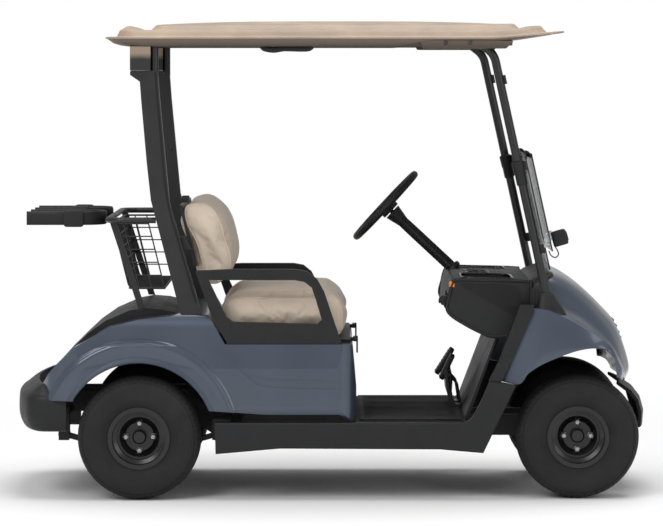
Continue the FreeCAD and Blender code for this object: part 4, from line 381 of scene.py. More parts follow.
@dataclass(frozen=True)
class HeightBlendPlastic:
    """Plastic whose colour turns from one to another between two heights."""

    name: str
    high: Colour
    low: Colour
    span: Span
    speck_height: float = 0.006
    grain_depth: float = 0.0001

    def material(self) -> bpy.types.Material:
        """Builds the finish's nodes.

        Returns:
            The finish as a new material.
        """
        board = NodeBoard(self.name)
        height = board.add("ShaderNodeSeparateXYZ", {0: board.place}).outputs[2]
        speck = board.noise(60.0, 4.0)
        edges = tuple(edge + self.speck_height / 2 for edge in self.span)
        grain = board.cells(600.0)
        colour = board.mottle(board.sum(height, speck, self.speck_height), edges, self.low, self.high)
        board.set(Base_Color=colour, Roughness=board.spread(speck, (0.3, 0.7), (0.42, 0.54)))
        board.bump(grain, self.grain_depth, 0.6)
        return board.material


@dataclass(frozen=True)
class Webbing:
    """Woven nylon strap: fine ridges along and across it."""

    name: str = "webbing"
    colour: Colour = (0.022, 0.022, 0.024)
    thread_scale: float = 900.0
    thread_depth: float = 0.0003

    def material(self) -> bpy.types.Material:
        """Builds the finish's nodes.

        Returns:
            The finish as a new material.
        """
        board = NodeBoard(self.name)
        waves = {"Vector": board.place, "Scale": self.thread_scale}
        along = board.add("ShaderNodeTexWave", waves, bands_direction="Y").outputs[1]
        across = board.add("ShaderNodeTexWave", waves, bands_direction="DIAGONAL").outputs[1]
        colour = board.blend(along, darker(self.colour, 0.7), darker(self.colour, 1.5))
        board.set(Base_Color=colour, Roughness=0.7, Sheen_Weight=0.2)
        board.bump(board.sum(along, across, 0.7), self.thread_depth, 0.7)
        return board.material


class Finish(Enum):
    """The finishes that this cart wears."""

    BODY = BodyPaint()
    BLACK_PLASTIC = GrainedPlastic("black_plastic", (0.0095, 0.0098, 0.0108))
    ROOF = GrainedPlastic("roof_plastic", (0.345, 0.264, 0.196), 0.46, 500.0, 0.00010, 6.0)
    VINYL = Vinyl()
    FRAME = TubePaint("frame_paint", (0.008, 0.008, 0.009), 0.5)
    TUBE = TubePaint("tube_paint", (0.008, 0.008, 0.009), 0.34)
    STEEL = BareMetal("steel", (0.42, 0.42, 0.43), 0.34)
    GUNMETAL = BareMetal("dark_steel", (0.075, 0.075, 0.080), 0.42)
    PLATED = BareMetal("plated", (0.72, 0.72, 0.74), 0.16)
    TYRE = Rubber("tyre_rubber")
    WHEEL = TubePaint("wheel_paint", (0.005, 0.005, 0.0055), 0.22)
    CLEAR = ClearSheet()
    MAT = Rubber("floor_mat", (0.016, 0.016, 0.017), (0.034, 0.033, 0.031), 0.66, 260.0)
    BATTERY = GrainedPlastic("battery_case", (0.03, 0.03, 0.034), 0.55)
    GRIP = Rubber("grip", (0.009, 0.009, 0.010), (0.016, 0.016, 0.016), 0.5, 700.0)
    WEBBING = Webbing()
    # Near-black plastic laid where a recess or groove looks dark only from shade: painted shade.
    PAINTED_SHADE_BLACK = GrainedPlastic("painted_shade_black", (0.004, 0.004, 0.0045), 0.6)
    GLOSS = TubePaint("gloss_black", (0.010, 0.010, 0.011), 0.10)
    AMBER = GrainedPlastic("amber_lens", (0.75, 0.22, 0.02), 0.25)
    SMOKED = ClearSheet("smoked_sheet", (0.10, 0.10, 0.105))
    DRAIN = HeightBlendPlastic("drain_plastic", (0.27, 0.205, 0.150), (0.0095, 0.0098, 0.0108), (1.640, 1.662))
    # Roof plastic darkened as painted shade under the roof's lip, and darker towards the bottom as more
    # painted shade.
    ROOF_TAN_PAINTED_SHADE = HeightBlendPlastic("roof_tan_painted_shade", (0.125, 0.095, 0.070), (0.060, 0.045, 0.033), (1.686, 1.714))


class Wardrobe:
    """Makes each finish once and puts it on pieces."""

    def __init__(self) -> None:
        """Starts with no material made."""
        self.made: dict[Finish, bpy.types.Material] = {}

    def get(self, finish: Finish) -> bpy.types.Material:
        """Gives a finish's material, made on first use.

        Args:
            finish: Which finish.

        Returns:
            The material.
        """
        if finish not in self.made:
            self.made[finish] = finish.value.material()
        return self.made[finish]

    def wear(self, piece: Piece, finish: Finish) -> None:
        """Puts one finish on the whole of a piece."""
        piece.data.materials.clear()
        piece.data.materials.append(self.get(finish))


# Which finish each CAD node keeps, by the record's slot
SLOT_FINISH: dict[str, Finish] = {
    "body_paint": Finish.BODY,
    "black_plastic": Finish.BLACK_PLASTIC,
    "roof_plastic": Finish.ROOF,
    "seat_vinyl": Finish.VINYL,
    "frame_paint": Finish.FRAME,
    "tube_paint": Finish.TUBE,
    "steel": Finish.STEEL,
    "tyre_rubber": Finish.TYRE,
    "wheel_paint": Finish.WHEEL,
    "clear_sheet": Finish.CLEAR,
    "floor_mat": Finish.MAT,
    "battery_case": Finish.BATTERY,
    "grip": Finish.GRIP,
}


@dataclass
class Studio:
    """The camera, pale floor and soft lights."""

    camera_distance: float = 15.0
    camera_height: float = 1.60
    camera_pitch: float = 2.84
    lens: float = 211.4
    floor_half: float = 60.0
    floor_tone: float = 0.9
    sky_fill: float = 0.55
    shadow_reach: float = 1.2
    white_reach: float = 4.0
    reach_stretch: Point = (0.8, 1.0, 1.0)
    aim: Point = (0.0, 0.0, 0.8)

    def set_camera(self) -> None:
        """Stands the camera off the cart's right side, looking along +Y."""
        data = bpy.data.cameras.new("camera")
        data.lens = self.lens
        data.clip_end = self.floor_half * 4
        camera = bpy.data.objects.new("camera", data)
        camera.location = (0.0, -self.camera_distance, self.camera_height)
        camera.rotation_euler = (math.radians(90.0 - self.camera_pitch), 0.0, 0.0)
        bpy.context.scene.collection.objects.link(camera)
        bpy.context.scene.camera = camera

    def lay_floor(self) -> None:
        """Lays one pale matt floor under the wheels."""
        half = self.floor_half
        mesh = bpy.data.meshes.new("floor")
        corners = [(-half, -half, 0), (half, -half, 0), (half, half, 0), (-half, half, 0)]
        mesh.from_pydata(corners, [], [(0, 1, 2, 3)])
        floor = bpy.data.objects.new("floor", mesh)
        bpy.context.scene.collection.objects.link(floor)
        board = NodeBoard("floor")
        tone = self.floor_tone
        board.set(Base_Color=(tone, tone, tone, 1.0), Roughness=0.9, Specular_IOR_Level=0.1)
        self.whiten(board)
        mesh.materials.append(board.material)

    def whiten(self, board: NodeBoard) -> None:
        """Lets the far floor show as white, while the floor by the cart keeps its shadow.

        Args:
            board: The floor's nodes.
        """
        spot = board.stretched(self.reach_stretch)
        away = board.add("ShaderNodeVectorMath", {0: spot}, operation="LENGTH").outputs["Value"]
        far = board.spread(away, (self.shadow_reach, self.white_reach), (0.0, 1.0))
        path = board.add("ShaderNodeLightPath").outputs
        rays = {0: path["Is Camera Ray"], 1: path["Is Transmission Ray"]}
        seen = board.add("ShaderNodeMath", rays, operation="MAXIMUM").outputs[0]
        share = board.add("ShaderNodeMath", {0: far, 1: seen}, operation="MULTIPLY").outputs[0]
        glow = board.add("ShaderNodeEmission", {"Color": (1.0, 1.0, 1.0, 1.0), "Strength": 1.0})
        both = {0: share, 1: board.shader.outputs[0], 2: glow.outputs[0]}
        mixed = board.add("ShaderNodeMixShader", both)
        end = board.tree.nodes["Material Output"]
        board.tree.links.new(mixed.outputs[0], end.inputs["Surface"])

    def light(self) -> None:
        """Hangs three soft lamps and a pale sky that shows as white."""
        lamps = (
            ("key", (-4.0, -7.5, 6.0), 5.0, 330.0),
            ("top", (0.5, 0.5, 7.0), 6.0, 330.0),
            ("fill", (6.0, -6.0, 3.0), 4.0, 90.0),
        )
        for name, place, size, power in lamps:
            data = bpy.data.lights.new(name, "AREA")
            data.shape = "DISK"
            data.size = size
            data.energy = power
            lamp = bpy.data.objects.new(name, data)
            lamp.location = place
            way = Vector(self.aim) - Vector(place)
            lamp.rotation_euler = way.to_track_quat("-Z", "Y").to_euler()
            bpy.context.scene.collection.objects.link(lamp)
        world = bpy.data.worlds.new("sky")
        world.use_nodes = True
        bpy.context.scene.world = world
        tree = world.node_tree
        shade = tree.nodes["Background"]
        path = tree.nodes.new("ShaderNodeLightPath")
        seen = tree.nodes.new("ShaderNodeMath")
        seen.operation = "MAXIMUM"
        tree.links.new(path.outputs["Is Camera Ray"], seen.inputs[0])
        tree.links.new(path.outputs["Is Transmission Ray"], seen.inputs[1])
        level = tree.nodes.new("ShaderNodeMapRange")
        level.inputs["To Min"].default_value = self.sky_fill
        level.inputs["To Max"].default_value = 1.0
        tree.links.new(seen.outputs[0], level.inputs[0])
        tree.links.new(level.outputs[0], shade.inputs["Strength"])
        shade.inputs["Color"].default_value = (1.0, 1.0, 1.0, 1.0)

    def build(self) -> None:
        """Makes the whole stage."""
        bpy.context.scene.view_settings.view_transform = "Standard"
        self.set_camera()
        self.lay_floor()
        self.light()


# Mesh building


def weave(rows: int, columns: int, wrap_rows: bool = False, wrap_columns: bool = True) -> np.ndarray:
    """Quads of a grid of points numbered row by row.

    Args:
        rows: How many rows the grid has.
        columns: How many points a row has.
        wrap_rows: Whether the last row joins the first.
        wrap_columns: Whether a row's last point joins its first.

    Returns:
        An array of four point numbers a face.
    """
    row = np.arange(rows if wrap_rows else rows - 1)[:, None]
    column = np.arange(columns if wrap_columns else columns - 1)[None, :]
    next_row = (row + 1) % rows
    next_column = (column + 1) % columns
    corners = [
        row * columns + column,
        row * columns + next_column,
        next_row * columns + next_column,
        next_row * columns + column,
    ]
    return np.stack(corners, axis=-1).reshape(-1, 4)


def unit(vectors: np.ndarray) -> np.ndarray:
    """Vectors along the last axis, each scaled to length one."""
    return vectors / np.maximum(np.linalg.norm(vectors, axis=-1, keepdims=True), 1e-9)


def flow(points: np.ndarray, count: int, closed: bool = False) -> np.ndarray:
    """A smooth line through points: a Catmull-Rom spline in each coordinate.

    Between points b and c, with neighbours a and d, the place at share t is
    half of 2b + (c - a)t + (2a - 5b + 4c - d)t^2 + (3b - a - 3c + d)t^3.

    Args:
        points: The points to pass through, one a row.
        count: How many points come back.
        closed: Whether the line returns to its start.

    Returns:
        The points along the line, one a row.
    """
    base = np.asarray(points, float)
    spans = len(base) if closed else len(base) - 1
    where = np.linspace(0.0, spans, count, endpoint=not closed)
    span = np.minimum(where.astype(int), spans - 1)
    share = (where - span)[:, None]
    if closed:
        a, b, c, d = (base[(span + step) % len(base)] for step in (-1, 0, 1, 2))
    else:
        a, b, c, d = (base[np.clip(span + step, 0, len(base) - 1)] for step in (-1, 0, 1, 2))
    start = 2 * b + (c - a) * share + (2 * a - 5 * b + 4 * c - d) * share**2
    return (start + (3 * b - a - 3 * c + d) * share**3) / 2


def bends(corners: np.ndarray, reach: float, steps: int = 7) -> np.ndarray:
    """A bent bar's middle line: straight runs joined by parabolas at its corners.

    Each corner is left reach before it and met again reach after it, on the curve
    (1 - t)^2 p + 2t(1 - t) corner + t^2 q.

    Args:
        corners: The line's corners, one a row.
        reach: How far from a corner its bend starts.
        steps: How many points a bend has.

    Returns:
        The points along the line, one a row.
    """
    corners = np.asarray(corners, float)
    middle = corners[1:-1]
    before = middle + unit(corners[:-2] - middle) * reach
    after = middle + unit(corners[2:] - middle) * reach
    share = np.linspace(0.0, 1.0, steps)[None, :, None]
    start, end = before[:, None] * (1 - share) ** 2, after[:, None] * share**2
    arcs = start + 2 * share * (1 - share) * middle[:, None] + end
    return np.concatenate([corners[:1], arcs.reshape(-1, 3), corners[-1:]])


def sweep(path: np.ndarray, section: np.ndarray, up: Point = UP, closed: bool = False) -> Grid:
    """A flat section carried along a path: each ring is path + across * side + high * top.

    Args:
        path: The middle line, one point a row.
        section: The section's points: across and high.
        up: The direction that the section's high side keeps to.
        closed: Whether the path returns to its start.

    Returns:
        The grid of points, a ring to each point of the path.
    """
    if closed:
        ahead = np.roll(path, -1, axis=0) - np.roll(path, 1, axis=0)
    else:
        ahead = np.gradient(path, axis=0)
    ahead = unit(ahead)
    side = unit(np.cross(ahead, np.asarray(up, float)))
    top = np.cross(side, ahead)
    return path[:, None] + section[:, :1] * side[:, None] + section[:, 1:] * top[:, None]


def turns(sides: int) -> np.ndarray:
    """Angles of a full turn in even steps, its end left out."""
    return np.linspace(0.0, 2 * np.pi, sides, endpoint=False)


def circle(sides: int) -> np.ndarray:
    """Cosine and sine round a full turn, one point a row."""
    turn = turns(sides)
    return np.stack([np.cos(turn), np.sin(turn)], axis=-1)


def squared(wave: np.ndarray, power: float) -> np.ndarray:
    """A wave's values raised to a power, each with its sign kept."""
    return np.sign(wave) * np.abs(wave) ** power


def ramp(value: np.ndarray, start: float, width: float) -> np.ndarray:
    """A share that climbs from 0 at a start to 1 a width further on."""
    return np.clip((value - start) / width, 0.0, 1.0)


def stood(outline: np.ndarray, y: float) -> np.ndarray:
    """An outline of x and z as points in space that all have one y."""
    return np.insert(outline, 1, y, axis=1)


def box_of(node: str) -> tuple[np.ndarray, np.ndarray]:
    """Returns: the lowest and the highest corner of a CAD node."""
    low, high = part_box(node)
    return np.array(low), np.array(high)


def strut_x(z: float) -> float:
    """The front struts' middle line: its x at a height, leaning back 12.4 degrees."""
    return 0.808 - (z - 0.730) * math.tan(math.radians(12.4))


def ring(radius: float, sides: int = 12) -> np.ndarray:
    """A circle as a section: radius times cosine and sine of a full turn."""
    return circle(sides) * radius


def band(width: float, thick: float, sides: int = 16) -> np.ndarray:
    """A flat bar's section: a squared circle, |x/a|^4 + |y/b|^4 = 1."""
    return squared(circle(sides), 0.5) * np.array([width / 2, thick / 2])


def lathe(profile: np.ndarray, centre: Point, axis: Point, sides: int = 32) -> Grid:
    """A profile turned round an axis: centre + along * axis + radius * (cos, sin).

    Args:
        profile: Points of the outline: distance along the axis and radius.
        centre: Where the axis starts.
        axis: The axis's direction.
        sides: How many points go round.

    Returns:
        The grid of points, a ring to each profile point.
    """
    profile = np.asarray(profile, float)
    axis = unit(np.asarray(axis, float))
    helper = np.array([0.0, 0.0, 1.0]) if abs(axis[2]) < 0.9 else np.array([1.0, 0.0, 0.0])
    side = unit(np.cross(axis, helper))
    top = np.cross(axis, side)
    turn = turns(sides)
    spokes = np.cos(turn)[:, None] * side + np.sin(turn)[:, None] * top
    return np.asarray(centre) + profile[:, :1, None] * axis + profile[:, 1:, None] * spokes


def pillow_box(low: Point, high: Point, power: float = 6.0, rows: int = 17, columns: int = 32) -> Grid:
    """A box with soft edges: a sphere's longitude and latitude raised to 2/power.

    Each coordinate is centre + half * sign(w)|w|^(2/power), with w the unit sphere's
    cos(v)cos(u), cos(v)sin(u) and sin(v).

    Args:
        low: The lowest corner.
        high: The highest corner.
        power: How square it is: 2 is a ball, 10 nearly a box.
        rows: Rings from bottom to top.
        columns: Points a ring has.

    Returns:
        The grid of points.
    """
    low, high = np.asarray(low, float), np.asarray(high, float)
    tilt = np.linspace(-np.pi / 2, np.pi / 2, rows)[:, None]
    turn = turns(columns)[None, :]
    parts = [np.cos(tilt) * np.cos(turn), np.cos(tilt) * np.sin(turn), np.sin(tilt) + 0 * turn]
    return (low + high) / 2 + (high - low) / 2 * squared(np.stack(parts, axis=-1), 2 / power)


def mirrored(grid: Grid) -> Grid:
    """A grid on the cart's other side: y changes sign and the rings run backward."""
    return (grid * FLIP)[:, ::-1]


class Workshop:
    """Turns grids of points into pieces that ride on a body and wear a finish."""

    def __init__(self, wardrobe: Wardrobe) -> None:
        """Keeps the wardrobe that the pieces are dressed from."""
        self.wardrobe = wardrobe

    def mesh(self, name: str, points: np.ndarray, faces: list) -> Piece:
        """A new object from points and faces, smooth, with its normals outward.

        Args:
            name: The piece's name.
            points: One point a row.
            faces: Point numbers a face.

        Returns:
            The object.
        """
        data = bpy.data.meshes.new(name)
        data.from_pydata(np.asarray(points, float).tolist(), [], faces)
        data.update()
        piece = bpy.data.objects.new(name, data)
        bpy.context.scene.collection.objects.link(piece)
        self.turn_outward(piece)
        data.shade_smooth()
        return piece

    @staticmethod
    def turn_outward(piece: Piece) -> None:
        """Merges doubled points and points every face outward.

        Args:
            piece: The object, changed in place.
        """
        shape = bmesh.new()
        shape.from_mesh(piece.data)
        bmesh.ops.remove_doubles(shape, verts=shape.verts, dist=1e-6)
        bmesh.ops.recalc_face_normals(shape, faces=shape.faces)
        shape.to_mesh(piece.data)
        shape.free()

    def grids(
        self,
        name: str,
        grids: list[Grid],
        finish: Finish,
        slot: str,
        body: str = CHASSIS,
        closed: bool = False,
        sharp: float = 40.0,
    ) -> Piece:
        """One piece from several grids whose rings wrap and whose ends are capped.

        Args:
            name: The piece's name.
            grids: The grids, each with a ring to a row.
            finish: Its finish.
            slot: The record's material slot.
            body: The body that the piece rides on.
            closed: Whether each grid's last ring joins its first, so that it has no ends.
            sharp: The angle in degrees past which an edge is drawn sharp.

        Returns:
            The piece.
        """
        points: list[np.ndarray] = []
        faces: list = []
        start = 0
        for grid in grids:
            rows, columns = grid.shape[:2]
            points.append(grid.reshape(-1, 3))
            faces.extend((weave(rows, columns, wrap_rows=closed) + start).tolist())
            if not closed:
                faces.append(list(range(start + columns - 1, start - 1, -1)))
                last = start + (rows - 1) * columns
                faces.append(list(range(last, last + columns)))
            start += rows * columns
        piece = self.mesh(name, np.concatenate(points), faces)
        piece.data.set_sharp_from_angle(angle=math.radians(sharp))
        return self.finish(piece, body, finish, slot)

    def shell(
        self, name: str, outer: Grid, thick: float, inside: Point, finish: Finish, slot: str, sharp: float
    ) -> Piece:
        """A sheet of even thickness on the chassis: its inner face is outer - thick * normal.

        The normal is the cross product of the grid's two gradients, turned away from a
        point inside.

        Args:
            name: The piece's name.
            outer: The outer face, whose rows and columns don't wrap.
            thick: The sheet's thickness.
            inside: A point on the sheet's inner side.
            finish: Its finish.
            slot: The record's material slot.
            sharp: The angle in degrees past which an edge is drawn sharp.

        Returns:
            The piece.
        """
        rows, columns = outer.shape[:2]
        normal = unit(np.cross(np.gradient(outer, axis=0), np.gradient(outer, axis=1)))
        away = np.sign(np.sum(normal * (outer - np.asarray(inside)), axis=-1).mean())
        inner = outer - normal * away * thick
        count = rows * columns
        numbers = np.arange(count).reshape(rows, columns)
        rim = np.concatenate([numbers[0], numbers[1:, -1], numbers[-1, -2::-1], numbers[-2:0:-1, 0]])
        after = np.roll(rim, -1)
        edges = np.stack([rim, after, after + count, rim + count], axis=-1)
        skin = weave(rows, columns, wrap_columns=False)
        faces = np.concatenate([skin, skin[:, ::-1] + count, edges])
        points = np.concatenate([outer.reshape(-1, 3), inner.reshape(-1, 3)])
        piece = self.mesh(name, points, faces.tolist())
        piece.data.set_sharp_from_angle(angle=math.radians(sharp))
        return self.finish(piece, CHASSIS, finish, slot)

    def finish(self, piece: Piece, body: str, finish: Finish, slot: str) -> Piece:
        """Dresses a piece and lets it ride on its body.

        Args:
            piece: The object.
            body: The body that it rides on.
            finish: What it wears.
            slot: The record's material slot; not used.

        Returns:
            The piece.
        """
        self.wardrobe.wear(piece, finish)
        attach(piece, body)
        log.info("%s: %d faces", piece.name, len(piece.data.polygons))
        return piece


class Upholsterer:
    """Blows a closed form up like a stuffed cover and lays piping on it."""

    cloth_frames = 20

    def stuff(self, piece: Piece, voxel: float, pressure: float, cap: float) -> None:
        """Remeshes a form and inflates it as cloth, no point moving further than cap.

        Args:
            piece: The form, changed in place.
            voxel: The remesh's grain.
            pressure: The cloth's inner pressure.
            cap: The longest way that a point may move.
        """
        remesh = piece.modifiers.new("remesh", "REMESH")
        remesh.mode = "VOXEL"
        remesh.voxel_size = voxel
        remesh.use_smooth_shade = True
        self.bake(piece)
        before = self.corners(piece)
        cloth = piece.modifiers.new("cloth", "CLOTH")
        cloth.settings.use_pressure = True
        cloth.settings.uniform_pressure_force = pressure
        cloth.settings.effector_weights.gravity = 0.0
        scene = bpy.context.scene
        for frame_number in range(1, self.cloth_frames + 1):
            scene.frame_set(frame_number)
        self.bake(piece)
        scene.frame_set(1)
        move = self.corners(piece) - before
        length = np.linalg.norm(move, axis=1, keepdims=True)
        held = before + move * np.minimum(1.0, cap / np.maximum(length, 1e-9))
        piece.data.vertices.foreach_set("co", held.ravel())
        piece.data.update()
        smooth = piece.modifiers.new("smooth", "SUBSURF")
        smooth.levels = 1
        smooth.render_levels = 1

    @staticmethod
    def corners(piece: Piece) -> np.ndarray:
        """Reads a mesh's points.

        Args:
            piece: The object.

        Returns:
            The points, one a row.
        """
        flat = np.empty(len(piece.data.vertices) * 3)
        piece.data.vertices.foreach_get("co", flat)
        return flat.reshape(-1, 3)

    @staticmethod
    def bake(piece: Piece) -> None:
        """Puts what the modifiers make in place of the piece's mesh.

        Args:
            piece: The object, changed in place.
        """
        depsgraph = bpy.context.evaluated_depsgraph_get()
        shaped = bpy.data.meshes.new_from_object(piece.evaluated_get(depsgraph))
        piece.modifiers.clear()
        piece.data = shaped

    @staticmethod
    def piping(cover: Piece, line: np.ndarray, radius: float) -> Grid:
        """A seam's cord laid on a cover: each point goes to the nearest place on it.

        Args:
            cover: The cover's object.
            line: The line to follow, which returns to its start, one point a row.
            radius: The cord's radius.

        Returns:
            The cord's grid.
        """
        tree = BVHTree.FromObject(cover, bpy.context.evaluated_depsgraph_get())
        hits = [tree.find_nearest(Vector(point)) for point in line]
        path = np.array([hit[0] for hit in hits])
        outward = np.array([hit[1] for hit in hits])
        weights = np.array([1.0, 2.0, 3.0, 2.0, 1.0]) / 9.0
        padded = np.concatenate([path[-2:], path, path[:2]])
        path = np.stack([np.convolve(padded[:, axis], weights, "valid") for axis in range(3)], axis=1)
        ahead = unit(np.roll(path, -1, axis=0) - np.roll(path, 1, axis=0))
        side = unit(np.cross(ahead, outward))
        top = np.cross(side, ahead)
        section = ring(radius, 8)
        return path[:, None] + section[:, :1] * side[:, None] + section[:, 1:] * top[:, None]


# Sub-assemblies

WHEEL_BODIES: dict[str, str] = {
    "front_left": "front_wheel_left",
    "front_right": "front_wheel_right",
    "rear_left": "rear_wheel_left",
    "rear_right": "rear_wheel_right",
}


@dataclass
class Tyres:
    """Four low tyres with a sawtooth tread, in place of the plain carcasses."""

    around: int = 420
    across: int = 150
    groove_depth: float = 0.005
    groove_lines: tuple[float, ...] = (-0.056, -0.019, 0.019, 0.056)
    teeth: int = 60
    outline: Outline = (
        (0.070, 0.104), (0.082, 0.110), (0.088, 0.121), (0.100, 0.140), (0.1065, 0.163), (0.1078, 0.182),
        (0.1045, 0.201), (0.096, 0.2145), (0.084, 0.2225), (0.062, 0.2275), (0.030, 0.2300), (0.0, 0.2308),
    )
    rib_radii: Span = (0.146, 0.190)
    rib_height: float = 0.0012
    zigzag_radius: float = 0.2095
    zigzag_depth: float = 0.0030
    inner_share: float = 0.94

    def carcass(self, centre: np.ndarray) -> Grid:
        """The tyre's skin: the outline turned round the axle and cut by the tread.

        The radius loses depth where a rib's edge, y0 + 6 mm * triangle(teeth * angle), lies
        within 2.5 mm, and in notches past the shoulder, where the triangle wave is high.

        Args:
            centre: The wheel's middle.

        Returns:
            The grid, a ring round the axle to each row.
        """
        right = np.array(self.outline)
        whole = np.concatenate([right, right[-2::-1] * [-1.0, 1.0]])
        profile = flow(whole, self.across)
        out, radius = profile[:, :1], profile[:, 1:]
        turn = turns(self.around)[None, :]
        wave = np.abs(((turn * self.teeth / (2 * np.pi)) % 1.0) * 2 - 1)
        groove = np.zeros((self.across, self.around))
        for line in self.groove_lines:
            away = np.abs(out - line - 0.006 * (wave - 0.5) * np.sign(line))
            groove = np.maximum(groove, np.clip(1.6 - away / 0.0028, 0.0, 1.0))
        shoulder = ramp(np.abs(out), 0.072, 0.008) * ramp(radius, 0.205, 0.006)
        groove = np.maximum(groove, shoulder * np.clip((wave - 0.75) * 9, 0.0, 0.6))
        line = self.zigzag_radius + 0.0045 * (wave - 0.5)
        zigzag = np.clip(1.5 - np.abs(radius - line) / 0.0016, 0.0, 1.0) * (np.abs(out) > 0.075)
        ribs = sum(np.exp(-(((radius - place) / 0.0022) ** 2)) for place in self.rib_radii)
        ribs = ribs * ramp(np.abs(out), 0.085, 0.006)
        reach = radius - self.groove_depth * groove
        y = out + np.sign(out) * (self.rib_height * ribs - self.zigzag_depth * zigzag)
        return centre + np.stack([reach * np.sin(turn), y, reach * np.cos(turn)], axis=-1)

    def build(self, workshop: Workshop) -> None:
        """Makes the four tyres, each on its wheel's body.

        Args:
            workshop: Makes the pieces.
        """
        for corner, body in WHEEL_BODIES.items():
            low, high = box_of("tyre_" + corner)
            middle = (low + high) / 2
            skin = self.carcass(middle)
            inner = skin[::-1].copy()
            inner[..., [0, 2]] = middle[[0, 2]] + (inner[..., [0, 2]] - middle[[0, 2]]) * self.inner_share
            shell = np.concatenate([skin, inner[[0, -1]]])
            piece = workshop.grids(
                "tread_" + corner, [shell], Finish.TYRE, "tyre_rubber", body, closed=True, sharp=55.0
            )
            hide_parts("tyre_" + corner)


@dataclass
class WheelFittings:
    """Lug nuts on the four wheels."""

    nut_radius: float = 0.0115
    nut_length: float = 0.020
    nut_circle: float = 0.0508
    seat_reach: float = 0.009
    sink: float = 0.010

    @staticmethod
    def face(node: str, near: float, far: float, side: float) -> float:
        """How far out the wheel's face is between two radii, along y.

        Args:
            node: The wheel's CAD node.
            near: The smaller radius.
            far: The larger radius.
            side: 1 on the cart's left and -1 on its right.

        Returns:
            The outermost y there.
        """
        low, high = box_of(node)
        middle = (low + high) / 2
        data = bpy.data.objects[node].data
        flat = np.empty(len(data.vertices) * 3)
        data.vertices.foreach_get("co", flat)
        points = flat.reshape(-1, 3)
        radius = np.hypot(points[:, 0] - middle[0], points[:, 2] - middle[2])
        chosen = points[(radius > near) & (radius < far), 1]
        return float((chosen * side).max() * side)

    def build(self, workshop: Workshop) -> None:
        """Makes each wheel's nuts: six flats, with a flange below and drawn in at the tip.

        Args:
            workshop: Makes the pieces.
        """
        r, length = self.nut_radius, self.nut_length
        profile = [
            (0.0, r * 1.25), (0.0035, r * 1.22), (0.005, r),
            (length * 0.78, r), (length * 0.95, r * 0.72), (length, r * 0.2),
        ]
        for corner, body in WHEEL_BODIES.items():
            side = 1.0 if corner.endswith("left") else -1.0
            low, high = box_of("wheel_" + corner)
            middle = (low + high) / 2
            near, far = self.nut_circle - self.seat_reach, self.nut_circle + self.seat_reach
            y = self.face("wheel_" + corner, near, far, side) - side * self.sink
            nuts = []
            for index in range(4):
                turn = math.radians(90.0 * index)
                x = middle[0] + self.nut_circle * math.sin(turn)
                z = middle[2] + self.nut_circle * math.cos(turn)
                nuts.append(lathe(profile, (x, y, z), (0.0, side, 0.0), 6))
            piece = workshop.grids("lug_nuts_" + corner, nuts, Finish.STEEL, "steel", body, sharp=30.0)
            piece.data.shade_flat()


